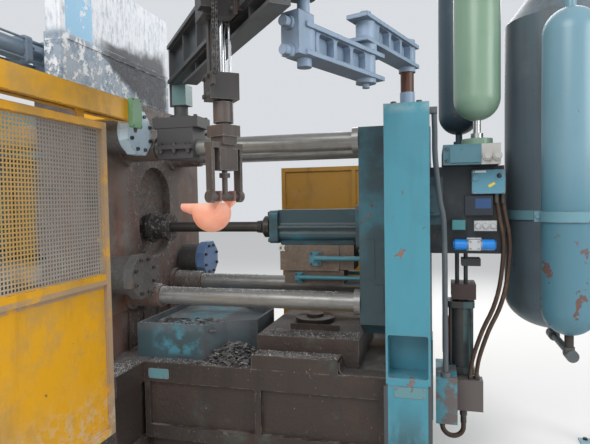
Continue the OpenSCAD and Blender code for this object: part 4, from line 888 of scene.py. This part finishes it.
def make_plates(teal, yellow, dark):
    """Bare name plates and the little fittings of the terminal box, all without words."""
    made = Build()
    rivet = [(0, 0.0055), (0.003, 0.005), (0.005, 0.003), (0.005, 0), (0, 0)]
    for x0, x1, z0, z1, y in ((0.245, 0.395, 0.498, 0.566, -0.531), (1.872, 2.050, 0.545, 0.608, -0.649)):
        at = facing(((x0 + x1) / 2, y, (z0 + z1) / 2), TO_FRONT)
        w, h = (x1 - x0) / 2, (z1 - z0) / 2
        made.slab(cut_corners(w, h, 0.008), 0, 0.003, at, 0.001)
        for place in grid((0.012 - w, w - 0.012), (0.012 - h, h - 0.012), (0,)):
            made.lathe(rivet, 10, at @ Matrix.Translation(place))
    made.piece("bare_plates", teal, "root")

    made = Build()
    at = facing((2.432, TERMINAL_Y, 1.742), TO_FRONT, 0.5)
    made.slab(rectangle(-0.022, 0.022, -0.009, 0.009), 0, 0.0015, at, 0.0005)
    made.piece("box_mark", yellow, "root")

    made = Build()
    knob = [(0, 0.014), (0.009, 0.014), (0.0115, 0.011), (0.0115, 0.004), (0.014, 0.003), (0.014, 0), (0, 0)]
    made.lathe(knob, 20, facing((2.475, TERMINAL_Y, 1.795), TO_FRONT))
    made.piece("box_knob", dark, "root", True)


def flake(made, rng, place, size, lean):
    """One thin ragged piece of flash."""
    n = rng.randint(4, 7)
    outline = []
    for k in range(n):
        a = 2 * math.pi * (k + rng.uniform(-0.3, 0.3)) / n
        r = size * rng.uniform(0.35, 1.0)
        outline.append((r * math.cos(a), r * math.sin(a) * 0.6))
    tip = (rng.uniform(-lean, lean), rng.uniform(-lean, lean), 1)
    thick, turn = rng.uniform(0.002, 0.006), rng.uniform(0, 6.28)
    made.slab(outline, 0, thick, facing(place, tip, turn))


def crumb(made, rng, place, size):
    """One small lump of splashed metal."""
    points = [(0, 0, size * 0.9)]
    n = 5
    for k in range(n):
        a = FULL_TURN * k / n
        x = size * rng.uniform(0.5, 1) * math.cos(a)
        y = size * rng.uniform(0.5, 1) * math.sin(a)
        points.append((x, y, size * rng.uniform(0, 0.3)))
    points.append((0, 0, -size * 0.2))
    faces = []
    for k in range(1, n + 1):
        after = k % n + 1
        faces += [[0, k, after], [n + 1, after, k]]
    made.add(points, faces, Matrix.Translation(place))


def make_flash(grey, bright):
    """Flash and crumbs of metal that have fallen on the bed, the riser and the drip box."""
    rng = random.Random(7)
    made = Build()
    heap_at, heap_size, heap_top = (0.80, -0.355), (0.20, 0.14), 0.11
    for _ in range(620):
        a, r = rng.uniform(0, FULL_TURN), rng.uniform(0, 1) ** 0.6
        x = heap_at[0] + heap_size[0] * r * math.cos(a)
        y = heap_at[1] + heap_size[1] * r * math.sin(a)
        under_drip_box = y > -0.43 + (x - 0.605) * 0.9 and x < 0.73
        if under_drip_box:
            continue
        z = BED_TOP + 0.001 + heap_top * max(0.0, 1 - r * r) * rng.uniform(0.3, 1)
        flake(made, rng, (x, y, z), rng.uniform(0.012, 0.05), 0.7)
    # Loose flakes: how many, from x to x, from y to y, height, from size to size, lean.
    loose = (
        (90, 0.62, 1.7, -0.52, -0.41, BED_TOP + 0.002, 0.006, 0.02, 0.12),
        (70, 0.99, 1.6, -0.38, -0.25, 0.791, 0.006, 0.024, 0.15),
        (160, 0.14, 0.66, -0.40, -0.1, 0.804, 0.01, 0.045, 0.5),
    )
    for count, x0, x1, y0, y1, z, small, large, lean in loose:
        for _ in range(count):
            place = (rng.uniform(x0, x1), rng.uniform(y0, y1), z)
            flake(made, rng, place, rng.uniform(small, large), lean)
    made.piece("fallen_flash", grey, "root")

    made = Build()
    # Crumbs on flat places: from x to x, from y to y, height, how many.
    flats = (
        (0.24, 1.80, -0.530, -0.405, BED_TOP, 700),
        (0.0, 0.2, -0.84, -0.60, BED_TOP, 260),
        (0.99, 1.62, -0.395, -0.2, 0.79, 420),
        (0.98, 1.52, -0.52, -0.405, 0.695, 320),
        (0.115, 0.6, -0.425, -0.412, 0.842, 120),
        (1.06, 1.46, -0.12, 0.1, 1.358, 40),
        (0.305, 0.555, -0.42, -0.25, 2.1655, 40),
        (0.1, 0.21, -0.84, -0.53, BED_TOP, 160),
    )
    for x0, x1, y0, y1, z, count in flats:
        for _ in range(count):
            place = (rng.uniform(x0, x1), rng.uniform(y0, y1), z)
            crumb(made, rng, place, rng.uniform(0.0015, 0.006))
    # Crumbs on bars, collars and the sleeve: y and z of the axis, from x to x, radius, how many.
    rounds = (
        (-BAR_Y, BAR_LOW_Z, 0.258, 1.5, 0.059, 760),
        (BAR_Y, BAR_LOW_Z, 0.258, 0.8, 0.059, 260),
        (-BAR_Y, BAR_LOW_Z, 0.03, 0.256, 0.079, 420),
        (-BAR_Y, BAR_HIGH_Z, 0.03, 0.29, 0.079, 60),
        (BAR_Y, BAR_LOW_Z, 0.03, 0.256, 0.079, 160),
        (0, SHOT_Z, 0.0, 0.03, 0.095, 60),
    )
    for y, z, x0, x1, r, count in rounds:
        for _ in range(count):
            a = rng.gauss(math.pi / 2, 0.5)
            x = x0 + (x1 - x0) * rng.uniform(0, 1) ** 1.8
            place = (x, y + r * math.cos(a), z + r * math.sin(a))
            crumb(made, rng, place, rng.uniform(0.002, 0.008))
    made.piece("metal_crumbs", bright, "root")


def make_switch_box(green, dark):
    """The green switch box on the guard rail's end, its lid screwed on, with a gland below."""
    made = Build()
    at = facing((0.3505, -0.795, 2.206), TO_SHOT)
    w, h, lip, cut = 0.050, 0.086, 0.003, 0.005
    made.slab(cut_corners(w, h, cut), 0, 0.022, at, 0.002)
    made.slab(cut_corners(w + lip, h + lip, cut), 0.022, 0.030, at, 0.003)
    made.piece("switch_box", green, "root")
    made = Build()
    lid_screw = [(0, 0.0035), (0.0035, 0.0035), (0.005, 0.002), (0.005, 0), (0, 0)]
    for place in grid((-0.041, 0.041), (-0.077, 0.077), (0.030,)):
        made.lathe(lid_screw, 12, at @ Matrix.Translation(place))
    gland = [(0, 0), (0.012, 0), (0.012, 0.012), (0.009, 0.02), (0.009, 0.028), (0, 0.028)]
    made.lathe(gland, 16, facing((0.364, -0.795, 2.12), DOWN))
    made.piece("switch_box_screws", dark, "root")


def make_skirt(rusty):
    """The plate that closes the gap between the platen's feet, from the bed up to the platen."""
    made = Build()
    half, z0, z1 = 0.4595, BED_TOP + 0.0005, PLATEN_Z0 - 0.0005
    to_yz = Matrix(((0, 0, 1, 0), (1, 0, 0, 0), (0, 1, 0, 0), (0, 0, 0, 1)))
    made.slab(rectangle(-half, half, z0, z1), -0.052, -0.044, to_yz)
    for y in (-0.3, -0.1, 0.1, 0.3):
        made.slab(rectangle(y - 0.004, y + 0.004, z0, z1), -0.0442, -0.034, to_yz)
    made.piece("platen_skirt", rusty, "root")


def make_hose_ends(steel):
    """Swaged ends and hexagon nuts on the hoses and pipes."""
    made = Build()
    sleeve = [(0, 0), (0.0125, 0), (0.0138, -0.004), (0.0138, -0.05), (0.0118, -0.056), (0, -0.056)]
    nut = [(0, 0.022), (0.0155, 0.022), (0.0165, 0.018), (0.0165, 0), (0, 0)]
    for x, y, _ in grid((0, 0.036), (-0.216, -0.244), (0,)):
        made.lathe(sleeve, 14, facing((2.462 + x, y, 1.6865), UP))
        made.lathe(nut, 6, facing((2.310 + x, y - 0.012, 0.5495), UP))
    bend_nut = [(0, 0), (0.021, 0), (0.022, -0.006), (0.022, -0.03), (0, -0.03)]
    bend_sleeve = [(0, -0.028), (0.018, -0.028), (0.018, -0.075), (0.0155, -0.08), (0, -0.08)]
    for place in ((2.14, -0.28, 0.3315), (2.265, -0.28, 0.3575)):
        made.lathe(bend_nut, 6, facing(place, UP))
        made.lathe(bend_sleeve, 16, facing(place, UP))
    made.piece("hose_ends", steel, "root")


def make_stage():
    """A pale floor and soft light from above and both sides."""
    mesh = bpy.data.meshes.new("floor")
    reach = 30
    mesh.from_pydata([(x, y, 0) for x, y in rectangle(-reach, reach, -reach, reach)], [], [(0, 1, 2, 3)])
    floor = add_object("floor", mesh)
    mat = bpy.data.materials.new("floor")
    mat.use_nodes = True
    shader = mat.node_tree.nodes["Principled BSDF"].inputs
    shader["Base Color"].default_value = (0.72, 0.71, 0.69, 1)
    shader["Roughness"].default_value = 0.9
    mesh.materials.append(mat)
    world = bpy.data.worlds.new("world")
    world.use_nodes = True
    sky = world.node_tree.nodes["Background"].inputs
    sky["Color"].default_value = (0.93, 0.96, 1, 1)
    sky["Strength"].default_value = 0.75
    bpy.context.scene.world = world
    lamps = (
        ("key", (0.5, -5.5, 5.5), (1.0, 0.0, 1.2), 4.0, 210),
        ("back", (2.5, 5.0, 5.5), (1.0, 0.0, 1.6), 5.0, 300),
        ("side", (7.0, -2.5, 3.5), (1.5, 0.0, 1.4), 3.0, 110),
    )
    for name, place, target, size, watts in lamps:
        data = bpy.data.lights.new(name, "AREA")
        data.shape = "DISK"
        data.size = size
        data.energy = watts
        lamp = add_object(name, data)
        lamp.matrix_world = facing(place, Vector(place) - Vector(target))


def dress_nodes():
    """Every CAD node that shows gets its look."""
    for name, mat in LOOKS.items():
        node = NODES[name]
        if not node.material_slots:
            node.data.materials.append(mat)
        for slot in node.material_slots:
            slot.material = mat
    for name in NODES:
        if name not in LOOKS and name not in ("guard_mesh", "lift_chain"):
            raise ValueError(name + " has no material")


make_camera()
for lay in (clamp_looks, column_looks, shot_looks, ladler_looks, guard_looks, valve_looks, hydraulic_looks):
    lay()
dress_nodes()

DARK_METAL = steel_look("bolt_steel", srgb(70, 66, 64), 0.45, 0.6, 0.4, 0.1).done()
BRIGHT_METAL = steel_look("bright_steel", srgb(176, 176, 172), 0.35, 0.8, 0.2, 0.0).done()
FLASH_METAL = steel_look("flash_metal", srgb(104, 102, 102), 0.5, 0.5, 0.4, 0.1).done()
SPLASH_METAL = steel_look("splash_metal", srgb(190, 190, 188), 0.4, 0.7, 0.1, 0.0).done()
PLATE_PAINT = paint("plate_paint", srgb(96, 140, 146), 0.3, 0.4, 0.0).done()
MARK_PAINT = paint("mark_paint", srgb(226, 208, 90), 0.1, 0.1, 0.0).done()
KNOB_PLASTIC = paint("knob_plastic", srgb(30, 32, 34), 0.0, 0.1, 0.0).done()
SWITCH_BOX_PAINT = paint("switch_box_paint", srgb(98, 146, 104), 0.1, 0.2, 0.2).done()

make_mesh_sheet(perforated_look().done())
make_chain(DARK_METAL)
make_fasteners(DARK_METAL, BRIGHT_METAL)
make_plates(PLATE_PAINT, MARK_PAINT, KNOB_PLASTIC)
make_flash(FLASH_METAL, SPLASH_METAL)
make_hose_ends(DARK_METAL)
make_skirt(LOOKS["fixed_platen"])
make_switch_box(SWITCH_BOX_PAINT, DARK_METAL)
make_stage()
bpy.context.scene.view_settings.view_transform = "Standard"
